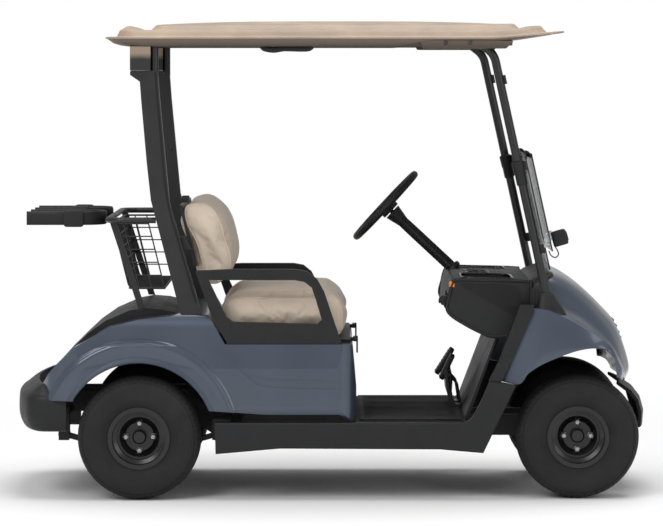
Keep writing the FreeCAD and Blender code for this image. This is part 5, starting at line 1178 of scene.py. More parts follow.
@dataclass
class Bench:
    """The seat cushion and the backrest, stuffed and piped, and the clip on the backrest."""

    voxel: float = 0.0065
    pressure: float = 3.2
    cap: float = 0.016
    cord: float = 0.0032
    end_power: float = 9.0
    half: float = 0.485
    back_half: float = 0.462
    cushion_outline: Outline = (
        (-0.412, 0.606), (-0.424, 0.660), (-0.418, 0.725), (-0.380, 0.748), (-0.300, 0.760), (-0.150, 0.762),
        (-0.020, 0.762), (0.028, 0.752), (0.054, 0.720), (0.060, 0.660), (0.052, 0.612), (0.020, 0.602),
        (-0.200, 0.602),
    )
    back_outline: Outline = (
        (-0.432, 0.786), (-0.410, 0.812), (-0.380, 0.852), (-0.378, 0.900), (-0.386, 0.945), (-0.402, 1.007),
        (-0.424, 1.056), (-0.447, 1.090), (-0.480, 1.109), (-0.526, 1.112), (-0.558, 1.096), (-0.552, 1.030),
        (-0.515, 0.940), (-0.494, 0.860), (-0.474, 0.795),
    )

    def bolster(self, outline: Outline, half: float, stations: int = 41, around: int = 64) -> Grid:
        """A side outline carried across the cart, drawn in towards its middle at the ends.

        At share s of the half width the outline shrinks by (1 - |s|^power)^(1/power), and
        never to under a third, where a flat panel closes it.

        Args:
            outline: The side outline: x and z.
            half: Half the width.
            stations: Rings across the width.
            around: Points a ring has.

        Returns:
            The grid, a ring to each station.
        """
        loop = flow(np.array(outline), around, closed=True)
        middle = loop.mean(axis=0)
        share = np.sin(np.linspace(-np.pi / 2, np.pi / 2, stations))
        inset = (1 - np.abs(share * 0.9999) ** self.end_power) ** (1 / self.end_power)
        draw = 1 - (1 - np.clip(inset, 0.55, 1.0)) * 0.45
        flat = middle + (loop - middle) * draw[:, None, None]
        y = np.broadcast_to((share * half)[:, None], flat.shape[:2])
        return np.stack([flat[..., 0], y, flat[..., 1]], axis=-1)

    def stuffed(
        self, workshop: Workshop, name: str, outline: Outline, half: float, body: str, node: str
    ) -> Piece:
        """Makes one cushion in place of its CAD solid.

        Args:
            workshop: Makes the meshes.
            name: The piece's name.
            outline: Its side outline.
            half: Half its width.
            body: The body that it rides on.
            node: The CAD node that it replaces.

        Returns:
            The cushion.
        """
        piece = workshop.grids(name, [self.bolster(outline, half)], Finish.VINYL, "seat_vinyl", body)
        Upholsterer().stuff(piece, self.voxel, self.pressure, self.cap)
        workshop.wardrobe.wear(piece, Finish.VINYL)
        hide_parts(node)
        return piece

    def pipe(
        self, workshop: Workshop, name: str, cover: Piece, outline: Outline, reach: float, body: str
    ) -> None:
        """Makes the cords round a cushion's two ends.

        Args:
            workshop: Makes the meshes.
            name: The piece's name.
            cover: The cushion.
            outline: Its side outline.
            reach: How far from the middle the cords lie.
            body: The body that they ride on.
        """
        loop = flow(np.array(outline), 160, closed=True)
        cords = [Upholsterer.piping(cover, stood(loop, side * reach), self.cord) for side in SIDES]
        piece = workshop.grids(name, cords, Finish.VINYL, "seat_vinyl", body, closed=True)

    def build(self, workshop: Workshop) -> None:
        """Makes the cushion, the backrest, its clip and the seams.

        Args:
            workshop: Makes the pieces.
        """
        low, high = self.cushion_outline, self.back_outline
        cushion = self.stuffed(workshop, "bench_cushion", low, self.half, LID, "seat_cushion")
        back = self.stuffed(workshop, "bench_back", high, self.back_half, CHASSIS, "seat_back")
        clip = pillow_box((-0.560, -0.452, 1.104), (-0.532, -0.400, 1.130), 9.0, 11, 20)
        workshop.grids("back_clip", [clip], Finish.BLACK_PLASTIC, "black_plastic")
        self.pipe(workshop, "cushion_piping", cushion, low, self.half - 0.012, LID)
        self.pipe(workshop, "back_piping", back, high, self.back_half - 0.010, CHASSIS)


@dataclass
class WireBasket:
    """The basket's round welded wires, in place of the square ones."""

    wire: float = 0.0024
    rim: float = 0.0038
    rows: int = 6
    posts: int = 15
    lean: float = 0.060
    depth: float = 0.133
    pitch_side: int = 3

    def build(self, workshop: Workshop) -> None:
        """Makes hoops, posts and the floor's wires as straight and bent rods.

        Args:
            workshop: Makes the pieces.
        """
        low, high = box_of("basket")
        half = high[1] - self.rim
        top, base = high[2] - self.rim, low[2] + self.rim
        back = low[0] + self.rim
        rods = []

        def wall(z: float) -> float:
            """The back wall's x at a height: it leans forward as it goes down."""
            return back + self.lean * (top - z) / (top - base)

        for z in np.linspace(top, base, self.rows):
            x = wall(z)
            corners = [(x + self.depth, -half, z), (x, -half, z), (x, half, z), (x + self.depth, half, z)]
            size = self.rim if z in (top, base) else self.wire
            rods.append(sweep(bends(np.array(corners), 0.03), ring(size, 8)))
        foot = wall(base)
        for y in np.linspace(-half, half, self.posts):
            corners = [(back, y, top), (foot, y, base), (foot + self.depth, y, base)]
            rods.append(sweep(bends(np.array(corners), 0.02, 5), ring(self.wire, 6), up=ACROSS))
        for side in (-half, half):
            for share in np.linspace(0.3, 1.0, self.pitch_side):
                x = back + self.depth * share
                line = np.array([(x, side, top), (x + self.lean, side, base)])
                rods.append(sweep(line, ring(self.wire, 6), up=ACROSS))
        front = foot + self.depth
        rods.append(sweep(np.array([(front, -half, base), (front, half, base)]), ring(self.rim, 8)))
        piece = workshop.grids("basket_wires", rods, Finish.TUBE, "tube_paint")
        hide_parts("basket")


@dataclass
class BagRests:
    """Two padded U-shaped rests, each with a strap and its buckle."""

    width: float = 0.052
    thick: float = 0.026
    strap_width: float = 0.038
    strap_thick: float = 0.0024
    centres: Span = (-0.21, 0.21)
    reach: float = 0.105
    sag: float = 0.018

    def build(self, workshop: Workshop) -> None:
        """Makes the pads, straps and buckles.

        Args:
            workshop: Makes the pieces.
        """
        low, high = box_of("bag_rests")
        level = (low[2] + high[2]) / 2
        tail, front = low[0], high[0] - 0.02
        reach = self.reach
        pads, straps, buckles = [], [], []
        for centre in self.centres:
            near, far = centre - reach, centre + reach
            corners = [(tail, near, level), (front, near, level), (front, far, level), (tail, far, level)]
            pads.append(sweep(bends(np.array(corners), 0.09, 9), band(self.thick, self.width, 20)))
            run = np.linspace(-1.0, 1.0, 15)[:, None]
            y = centre + run * (reach + self.thick * 0.6)
            z = level + 0.004 - self.sag * (1 - run**2)
            loop = np.hstack([np.full((15, 1), tail + 0.178), y, z])
            straps.append(sweep(loop, band(self.strap_width, self.strap_thick, 12), up=ALONG))
            for side in SIDES:
                y = centre + side * (reach + self.thick / 2 + 0.004)
                near_corner = (tail + 0.140, y - 0.009, level - 0.033)
                far_corner = (tail + 0.216, y + 0.009, level + 0.030)
                buckles.append(pillow_box(near_corner, far_corner, 7.0, 11, 20))
        piece = workshop.grids("rest_pads", pads, Finish.GRIP, "grip")
        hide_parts("bag_rests")
        workshop.grids("rest_straps", straps, Finish.WEBBING, "grip")
        workshop.grids("rest_buckles", buckles, Finish.BLACK_PLASTIC, "black_plastic")


@dataclass
class StrutTrim:
    """Boots at the front struts' feet.

    A station is a height and the boot's half length and half width there.
    """

    stations: tuple[Point, ...] = (
        (0.690, 0.058, 0.046), (0.712, 0.052, 0.042), (0.745, 0.034, 0.030), (0.768, 0.027, 0.024),
        (0.772, 0.0195, 0.0195),
    )
    power: float = 0.6

    def build(self, workshop: Workshop) -> None:
        """Makes the boots: squared ovals that narrow as they go up the leaning strut.

        Args:
            workshop: Makes the pieces.
        """
        boots = []
        square = squared(circle(28), self.power)
        for side in SIDES:
            rings = []
            for z, long, wide in self.stations:
                x = strut_x(z) + long * square[:, 0]
                y = side * 0.520 + wide * square[:, 1]
                rings.append(np.stack([x, y, np.full(28, z)], axis=-1))
            boots.append(np.stack(rings))
        workshop.grids("strut_boots", boots, Finish.BLACK_PLASTIC, "black_plastic")


@dataclass
class FloorMat:
    """The ribbed rubber mat on the floor."""

    rib_pitch: float = 0.018
    rib_height: float = 0.0022
    base: float = 0.0022
    gap: float = 0.0003

    def build(self, workshop: Workshop) -> None:
        """Makes the mat: its height is a flattened cosine across the ribs, zero at the border.

        Args:
            workshop: Makes the pieces.
        """
        low, high = box_of("floor_panel")
        xs = np.linspace(low[0] + 0.012, high[0] - 0.012, 24)
        ys = np.linspace(low[1] + 0.02, high[1] - 0.02, 482)
        grid_x, grid_y = np.meshgrid(xs, ys, indexing="ij")
        rib = np.clip(np.cos(grid_y * 2 * np.pi / self.rib_pitch) * 2.2, -1.0, 1.0)
        border = ramp(high[1] - 0.05 - np.abs(grid_y), 0.0, 0.008)
        edge = ramp(grid_x, xs[1], 0.004) * ramp(xs[-2] - grid_x, 0.0, 0.004)
        top = high[2] + self.base + self.rib_height * rib * border * edge
        upper = np.stack([grid_x, grid_y, top], axis=-1)
        lower = np.stack([grid_x, grid_y, np.full_like(top, high[2] + self.gap)], axis=-1)
        shell = np.concatenate([upper, lower[:, ::-1]], axis=1)
        workshop.grids("ribbed_mat", [shell], Finish.MAT, "floor_mat")


@dataclass
class Cowl:
    """The front body as one thin skin over the hood, the ledges and both fenders.

    Each rail is a line from the windshield to the nose, on the cart's left: x, y, z.
    """

    thick: float = 0.004
    rows: int = 67
    hood_columns: int = 49
    ledge_columns: int = 13
    side_columns: int = 19
    bulge: float = 0.005
    middle: tuple[Point, ...] = (
        (0.825, 0.0, 0.842), (0.872, 0.0, 0.827), (0.932, 0.0, 0.790), (0.985, 0.0, 0.745),
        (1.033, 0.0, 0.697), (1.078, 0.0, 0.646), (1.108, 0.0, 0.580), (1.138, 0.0, 0.475),
        (1.112, 0.0, 0.425),
    )
    shoulder: tuple[Point, ...] = (
        (0.822, 0.300, 0.840), (0.869, 0.300, 0.825), (0.928, 0.298, 0.787), (0.980, 0.295, 0.742),
        (1.026, 0.290, 0.693), (1.069, 0.285, 0.643), (1.099, 0.280, 0.578), (1.127, 0.275, 0.475),
        (1.103, 0.270, 0.425),
    )
    crest: tuple[Point, ...] = (
        (0.806, 0.408, 0.822), (0.852, 0.408, 0.803), (0.908, 0.405, 0.766), (0.962, 0.400, 0.721),
        (1.010, 0.394, 0.671), (1.050, 0.388, 0.624), (1.081, 0.382, 0.566), (1.110, 0.375, 0.474),
        (1.104, 0.370, 0.433),
    )
    valley: tuple[Point, ...] = (
        (0.790, 0.452, 0.745), (0.838, 0.452, 0.738), (0.890, 0.450, 0.712), (0.938, 0.446, 0.681),
        (0.984, 0.441, 0.643), (1.026, 0.436, 0.601), (1.062, 0.430, 0.553), (1.099, 0.424, 0.475),
        (1.101, 0.420, 0.442),
    )
    ledge: tuple[Point, ...] = (
        (0.772, 0.520, 0.722), (0.820, 0.520, 0.717), (0.870, 0.518, 0.698), (0.919, 0.515, 0.669),
        (0.966, 0.510, 0.637), (1.011, 0.504, 0.602), (1.052, 0.496, 0.560), (1.090, 0.484, 0.486),
        (1.093, 0.478, 0.451),
    )
    crease: tuple[Point, ...] = (
        (0.752, 0.576, 0.716), (0.800, 0.580, 0.709), (0.852, 0.581, 0.689), (0.902, 0.580, 0.663),
        (0.950, 0.577, 0.634), (0.996, 0.572, 0.604), (1.040, 0.562, 0.570), (1.079, 0.545, 0.492),
        (1.078, 0.535, 0.455),
    )
    arch: tuple[Point, ...] = (
        (0.631, 0.560, 0.443), (0.697, 0.580, 0.434), (0.731, 0.588, 0.474), (0.789, 0.590, 0.511),
        (0.875, 0.590, 0.546), (0.936, 0.589, 0.563), (0.992, 0.584, 0.566), (1.046, 0.568, 0.546),
        (1.062, 0.548, 0.457),
    )
    slot_heights: tuple[float, ...] = (0.640, 0.617, 0.594, 0.571)
    slot_half: float = 0.150

    def across(self, lines: list[np.ndarray], count: int) -> Grid:
        """Smooth columns through lines of points, a column to each row of the result."""
        flat = np.stack(lines).reshape(len(lines), -1)
        return flow(flat, count).reshape(count, self.rows, 3)

    def outer(self) -> Grid:
        """The outer face: columns from the left arch over the hood to the right one.

        Rails are Catmull-Rom splines, and so are the columns through them from one crease
        to the next. A fender is crease * (1 - v) + arch * v, with bulge * sin(pi v) added to y.

        Returns:
            The grid, a column across the cart to each row of points.
        """
        rails = (self.middle, self.shoulder, self.crest, self.valley, self.ledge, self.crease, self.arch)
        lines = (flow(np.array(rail), self.rows) for rail in rails)
        middle, shoulder, crest, valley, ledge, crease, arch = lines
        over = [valley, crest, shoulder, middle, shoulder * FLIP, crest * FLIP, valley * FLIP]
        hood = self.across(over, self.hood_columns)
        shelf = self.across([crease, ledge, valley], self.ledge_columns)
        share = np.linspace(1.0, 0.0, self.side_columns)[:, None, None]
        side = crease * (1 - share) + arch * share
        side[..., 1] += self.bulge * np.sin(np.pi * share[..., 0])
        left = np.concatenate([side, shelf[1:]])
        return np.concatenate([left, hood[1:], (left * FLIP)[::-1][1:]])

    def build(self, workshop: Workshop) -> None:
        """Makes the skin and the slots in its nose.

        Args:
            workshop: Makes the pieces.
        """
        outer = self.outer()
        inside = (0.85, 0.0, 0.5)
        piece = workshop.shell("cowl_skin", outer, self.thick, inside, Finish.BODY, "body_paint", 28.0)
        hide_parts("front_cowl")
        middle = outer[len(outer) // 2]
        slots = []
        for height in self.slot_heights:
            row = int(np.abs(middle[:, 2] - height).argmin())
            line = outer[:, row]
            line = line[np.abs(line[:, 1]) < self.slot_half]
            slots.append(sweep(line, band(0.005, 0.009, 12), up=(0.4, 0.0, 1.0)))
        workshop.grids("nose_slots", slots, Finish.BLACK_PLASTIC, "black_plastic")


@dataclass
class ScreenBase:
    """The black cover between the dash and the hood, ribbed on its ends."""

    half: float = 0.533
    profile: Outline = (
        (0.741, 0.702), (0.742, 0.796), (0.752, 0.815), (0.785, 0.830), (0.822, 0.840), (0.836, 0.826),
        (0.838, 0.760), (0.812, 0.722), (0.775, 0.704),
    )
    corner: Span = (0.741, 0.702)
    drops: Span = (0.42, 0.24)
    rib_starts: tuple[float, ...] = (0.748, 0.760, 0.772)

    def build(self, workshop: Workshop) -> None:
        """Makes the cover: its outline shrinks where |y| passes the hood's shoulders.

        Args:
            workshop: Makes the pieces.
        """
        loop = flow(np.array(self.profile), 48, closed=True)
        y = np.linspace(-self.half, self.half, 61)
        drop = ramp(np.abs(y), 0.385, 0.06)[:, None]
        x, z = (
            self.corner[axis] + (loop[:, axis] - self.corner[axis]) * (1 - self.drops[axis] * drop)
            for axis in range(2)
        )
        cover = np.stack([x, np.broadcast_to(y[:, None], x.shape), z], axis=-1)
        ribs = []
        for side in SIDES:
            for start in self.rib_starts:
                low, high = sorted((side * (self.half - 0.004), side * (self.half + 0.005)))
                ribs.append(pillow_box((start, low, 0.716), (start + 0.005, high, 0.782), 8.0, 9, 16))
        workshop.grids("screen_base", [cover, *ribs], Finish.BLACK_PLASTIC, "black_plastic")


@dataclass
class DashTrim:
    """Beads round the dash's ends, painted-shade plates in the end pockets, glossy tray rims, a key switch
    and an amber mark.

    A tray is its lowest x and y and its highest x and y.
    """

    bead: float = 0.0065
    rim: float = 0.0042
    end: Outline = (
        (0.434, 0.701), (0.441, 0.765), (0.453, 0.807), (0.468, 0.818), (0.560, 0.817), (0.732, 0.812),
        (0.744, 0.800), (0.737, 0.699), (0.665, 0.612), (0.650, 0.608), (0.590, 0.609), (0.500, 0.651),
    )
    pocket: Outline = (
        (0.482, 0.800), (0.560, 0.802), (0.655, 0.800), (0.702, 0.781), (0.712, 0.716), (0.695, 0.680),
        (0.640, 0.706), (0.560, 0.752),
    )
    trays: tuple[tuple[float, float, float, float], ...] = (
        (0.487, -0.452, 0.681, -0.133), (0.487, 0.322, 0.681, 0.452),
        (0.516, -0.106, 0.604, -0.018), (0.516, 0.018, 0.604, 0.106),
    )

    def build(self, workshop: Workshop) -> None:
        """Makes the beads, the plates of painted shade, rims, switch and mark.

        Args:
            workshop: Makes the pieces.
        """
        beads, shades = [], []
        loop = flow(np.array(self.end), 132, closed=True)
        hole = flow(np.array(self.pocket), 96, closed=True)
        for side in SIDES:
            beads.append(sweep(stood(loop, side * 0.4995), ring(self.bead, 10), up=ACROSS, closed=True))
            # Each end pocket's outline gets a thin near-black plate: painted shade for the pocket's dark
            # inside.
            shades.append(np.stack([stood(hole, side * reach) for reach in (0.4990, 0.5012)]))
        workshop.grids("dash_end_beads", beads, Finish.BLACK_PLASTIC, "black_plastic", closed=True)
        workshop.grids("dash_pocket_painted_shade_plates", shades, Finish.PAINTED_SHADE_BLACK, "black_plastic")
        rims = []
        for low_x, low_y, high_x, high_y in self.trays:
            power = 2 / (2.2 if high_x - low_x < 0.1 else 7.0)
            spread = np.array([high_x - low_x, high_y - low_y])
            line = np.array([low_x + high_x, low_y + high_y]) / 2 + squared(circle(72), power) * spread / 2
            height = 0.8235 - 0.0226 * (line[:, :1] - 0.464)
            rims.append(sweep(np.hstack([line, height]), ring(self.rim, 10), closed=True))
        workshop.grids("dash_rims", rims, Finish.GLOSS, "black_plastic", closed=True)
        barrel = [(0.0, 0.013), (0.006, 0.012), (0.008, 0.007), (0.009, 0.001)]
        switch = [
            pillow_box((0.409, -0.484, 0.722), (0.436, -0.438, 0.757), 7.0),
            lathe(barrel, (0.409, -0.461, 0.740), (-1.0, 0.0, 0.1), 20),
        ]
        workshop.grids("key_switch", switch, Finish.BLACK_PLASTIC, "black_plastic")
        mark = [pillow_box((0.4385, -0.5045, 0.789), (0.4600, -0.470, 0.812), 5.0)]
        workshop.grids("amber_mark", mark, Finish.AMBER, "black_plastic")


@dataclass
class PedalPads:
    """Thick ribbed pads on both pedals, with their arms and links.

    A pedal is its pad's y, and the x and z of the pad's upper and lower edge.
    """

    pedals: tuple[tuple[float, Span, Span], ...] = (
        (0.050, (0.470, 0.500), (0.424, 0.404)),
        (0.215, (0.474, 0.512), (0.410, 0.412)),
    )
    half: float = 0.044
    thick: float = 0.020
    arm: Outline = ((0.452, 0.452), (0.462, 0.405), (0.458, 0.345), (0.468, 0.308))
    brace: Outline = ((0.450, 0.425), (0.486, 0.388), (0.498, 0.310))
    pins: Outline = ((0.455, 0.420), (0.459, 0.348))
    pin: Outline = ((0.0, 0.008), (0.002, 0.0095), (0.036, 0.0095), (0.038, 0.008))

    def pad(self, top: np.ndarray, foot: np.ndarray) -> Grid:
        """A tilted pad: a soft box turned to lie between two points.

        Args:
            top: The middle of its upper edge.
            foot: The middle of its lower edge.

        Returns:
            The pad's grid.
        """
        along = unit(top - foot)
        out = np.array([-along[2], 0.0, along[0]])
        long = float(np.linalg.norm(top - foot)) / 2
        corner = np.array([self.thick / 2, self.half, long])
        flat = pillow_box(-corner, corner, 8.0, 15, 28)
        return (top + foot) / 2 + flat[..., :1] * out + flat[..., 1:2] * ACROSS + flat[..., 2:] * along

    def build(self, workshop: Workshop) -> None:
        """Makes pads, ribs, arms and links.

        Args:
            workshop: Makes the pieces.
        """
        steel, rubber = [], []
        for y, high, low in self.pedals:
            top, foot = (np.array([x, y, z]) for x, z in (high, low))
            rubber.append(self.pad(top, foot))
            steps = np.linspace(0.12, 0.88, 7)[:, None]
            for spot in foot * (1 - steps) + top * steps:
                low_corner, high_corner = spot + [-0.0125, -0.038, -0.004], spot + [-0.0035, 0.038, 0.004]
                rubber.append(pillow_box(low_corner, high_corner, 6.0, 9, 16))
            arm = stood(np.array(self.arm), y)
            steel.append(sweep(bends(arm, 0.015), band(0.016, 0.009, 12), up=ACROSS))
            brace = stood(np.array(self.brace), y + 0.018)
            steel.append(sweep(bends(brace, 0.012), ring(0.0055, 10), up=ACROSS))
            steel.extend(lathe(self.pin, (x, y - 0.019, z), ACROSS, 16) for x, z in self.pins)
        workshop.grids("pedal_pads", rubber, Finish.GRIP, "black_plastic")
        workshop.grids("pedal_arms", steel, Finish.TUBE, "tube_paint")


@dataclass
class ColumnRibs:
    """Ribs along the steering column's cover and a ring where it enters the dash."""

    top: Point = (0.263, 0.270, 1.021)
    foot: Point = (0.490, 0.270, 0.810)
    rib: float = 0.0034
    collar: Outline = ((0.0, 0.026), (0.006, 0.033), (0.016, 0.034), (0.022, 0.030), (0.024, 0.020))

    def build(self, workshop: Workshop) -> None:
        """Makes the ribs: straight rods spaced round the column, drawn in at their ends.

        Args:
            workshop: Makes the pieces.
        """
        top, foot = np.array(self.top), np.array(self.foot)
        axis = unit(foot - top)
        side = np.array(ACROSS)
        up = np.cross(axis, side)
        share = np.linspace(0.0, 1.0, 24)[:, None]
        away = 0.0203 - 0.004 * np.abs(share * 2 - 1) ** 8
        rods = []
        for degrees in range(0, 360, 45):
            turn = math.radians(degrees + 22.5)
            line = top + (foot - top) * share + (math.cos(turn) * side + math.sin(turn) * up) * away
            rods.append(sweep(line, ring(self.rib, 8), up=ACROSS))
        rods.append(lathe(self.collar, tuple(foot - axis * 0.006), tuple(-axis), 32))
        workshop.grids("column_ribs", rods, Finish.BLACK_PLASTIC, "black_plastic")


@dataclass
class SensorKit:
    """A small dark unit on the folded pane's edge: its case, bracket, clip and looped wire."""

    middle: Point = (0.852, -0.462, 0.973)
    half: Point = (0.028, 0.024, 0.029)
    tilt: float = 16.0
    y: float = -0.470
    bracket: Outline = ((0.826, 0.988), (0.812, 0.982), (0.804, 0.962), (0.806, 0.938))
    wire: tuple[Point, ...] = (
        (0.832, -0.470, 0.945), (0.842, -0.472, 0.930), (0.848, -0.474, 0.912),
        (0.836, -0.474, 0.900), (0.820, -0.472, 0.908), (0.812, -0.470, 0.925),
    )

    def build(self, workshop: Workshop) -> None:
        """Makes the case turned by its tilt about Y, then what holds it.

        Args:
            workshop: Makes the pieces.
        """
        turn = math.radians(self.tilt)
        half = np.array(self.half)
        case = pillow_box(-half, half, 9.0, 15, 28)
        face = lathe([(0.0, 0.019), (0.003, 0.018), (0.004, 0.001)], (self.half[0], 0.0, 0.0), ALONG, 24)
        placed = []
        for grid in (case, face):
            x = grid[..., 0] * math.cos(turn) - grid[..., 2] * math.sin(turn)
            z = grid[..., 0] * math.sin(turn) + grid[..., 2] * math.cos(turn)
            placed.append(np.stack([x, grid[..., 1], z], axis=-1) + np.array(self.middle))
        workshop.grids("sensor_case", placed, Finish.BLACK_PLASTIC, "black_plastic", PANE)
        bracket = stood(np.array(self.bracket), self.y)
        steel = [
            sweep(bends(bracket, 0.007, 5), band(0.030, 0.0022, 12), up=ACROSS),
            lathe([(0.0, 0.006), (0.010, 0.006), (0.012, 0.003)], (0.806, self.y, 0.950), ALONG, 12),
        ]
        workshop.grids("sensor_bracket", steel, Finish.PLATED, "steel", PANE)
        wire = sweep(flow(np.array(self.wire), 60), ring(0.0022, 8), up=ACROSS)
        workshop.grids("sensor_wire", [wire], Finish.GRIP, "grip", PANE)


@dataclass
class ArchFlares:
    """A rolled lip and a raised crease round each rear wheel arch."""

    centre: Span = (-0.717, 0.231)
    knots: Outline = (
        (0.2815, 0.5965), (0.2840, 0.5998), (0.2900, 0.5990), (0.3040, 0.5958), (0.3300, 0.5968),
        (0.3480, 0.5985), (0.3560, 0.5982), (0.3600, 0.5958), (0.3640, 0.5962), (0.3740, 0.5905),
    )
    tail: float = 0.374
    front: float = 0.337
    thick: float = 0.0075

    def build(self, workshop: Workshop) -> None:
        """Makes both flares: y follows the knots along the radius, and drops with the body's corner.

        Point (r, t) lies at centre + r(sin, cos) of an angle from -acos((tail - z)/r) to
        acos((front - z)/r), and its y loses 2.6 * d^2, d metres behind x = -0.93.

        Args:
            workshop: Makes the pieces.
        """
        knots = np.array(self.knots)
        radius = np.linspace(knots[0, 0], knots[-1, 0], 40)[:, None]
        y = np.interp(radius, knots[:, 0], knots[:, 1])
        start = -np.arccos((self.tail - self.centre[1]) / radius)
        end = np.arccos((self.front - self.centre[1]) / radius)
        angle = start + (end - start) * np.linspace(0.0, 1.0, 120)[None, :]
        x = self.centre[0] + radius * np.sin(angle)
        z = self.centre[1] + radius * np.cos(angle)
        corner = 2.6 * np.clip(-0.93 - x, 0.0, None) ** 2
        lean = 0.45 * np.clip(z - 0.575, 0.0, None)
        place = (self.centre[0], 0.0, self.centre[1] + 0.2)
        for side, name in zip(SIDES, ("right", "left")):
            grid = np.stack([x, side * (y - corner - lean), z], axis=-1)
            workshop.shell("arch_flare_" + name, grid, self.thick, place, Finish.BODY, "body_paint", 35.0)


@dataclass
class RearBumper:
    """The rear bumper as one bowed bar with a sloping top and rounded corners."""

    plan: Outline = (
        (-0.988, 0.556), (-1.040, 0.557), (-1.090, 0.552), (-1.128, 0.528), (-1.150, 0.480), (-1.167, 0.400),
        (-1.186, 0.220), (-1.196, 0.0),
    )
    section: Outline = (
        (0.075, 0.430), (0.020, 0.398), (0.006, 0.386), (0.000, 0.372), (-0.002, 0.330), (0.000, 0.300),
        (0.010, 0.272), (0.028, 0.256), (0.060, 0.250), (0.072, 0.262), (0.070, 0.340),
    )

    def build(self, workshop: Workshop) -> None:
        """Makes the bar: its section, inward and up, carried round the plan's spline.

        Args:
            workshop: Makes the pieces.
        """
        half = np.array(self.plan)
        path = flow(np.concatenate([half * [1.0, -1.0], half[-2::-1]]), 121)
        line = np.hstack([path, np.zeros((len(path), 1))])
        loop = flow(np.array(self.section), 64, closed=True)
        piece = workshop.grids("rear_bumper_skin", [sweep(line, loop)], Finish.BLACK_PLASTIC, "black_plastic")
        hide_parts("rear_bumper")


@dataclass
class RoofTrim:
    """Bolts on the outer faces of the roof's front brackets and the inner faces of the rear struts."""

    bolts: tuple[Point, ...] = (
        (0.423, 0.5640, 1.7000), (0.513, 0.5640, 1.7000), (-0.665, 0.5080, 1.5870), (-0.639, 0.5080, 1.2880),
    )
    head: Outline = (
        (0.0, 0.0085), (0.0014, 0.0085), (0.0018, 0.0062),
        (0.0040, 0.0056), (0.0054, 0.0034), (0.0060, 0.0005),
    )

    def build(self, workshop: Workshop) -> None:
        """Makes domed heads on washers, on both sides.

        Args:
            workshop: Makes the pieces.
        """
        heads = []
        for x, y, z in self.bolts:
            out = 1.0 if x > 0 else -1.0
            heads.extend(lathe(self.head, (x, side * y, z), (0.0, side * out, 0.0), 20) for side in SIDES)
        workshop.grids("roof_bolts", heads, Finish.GUNMETAL, "steel")


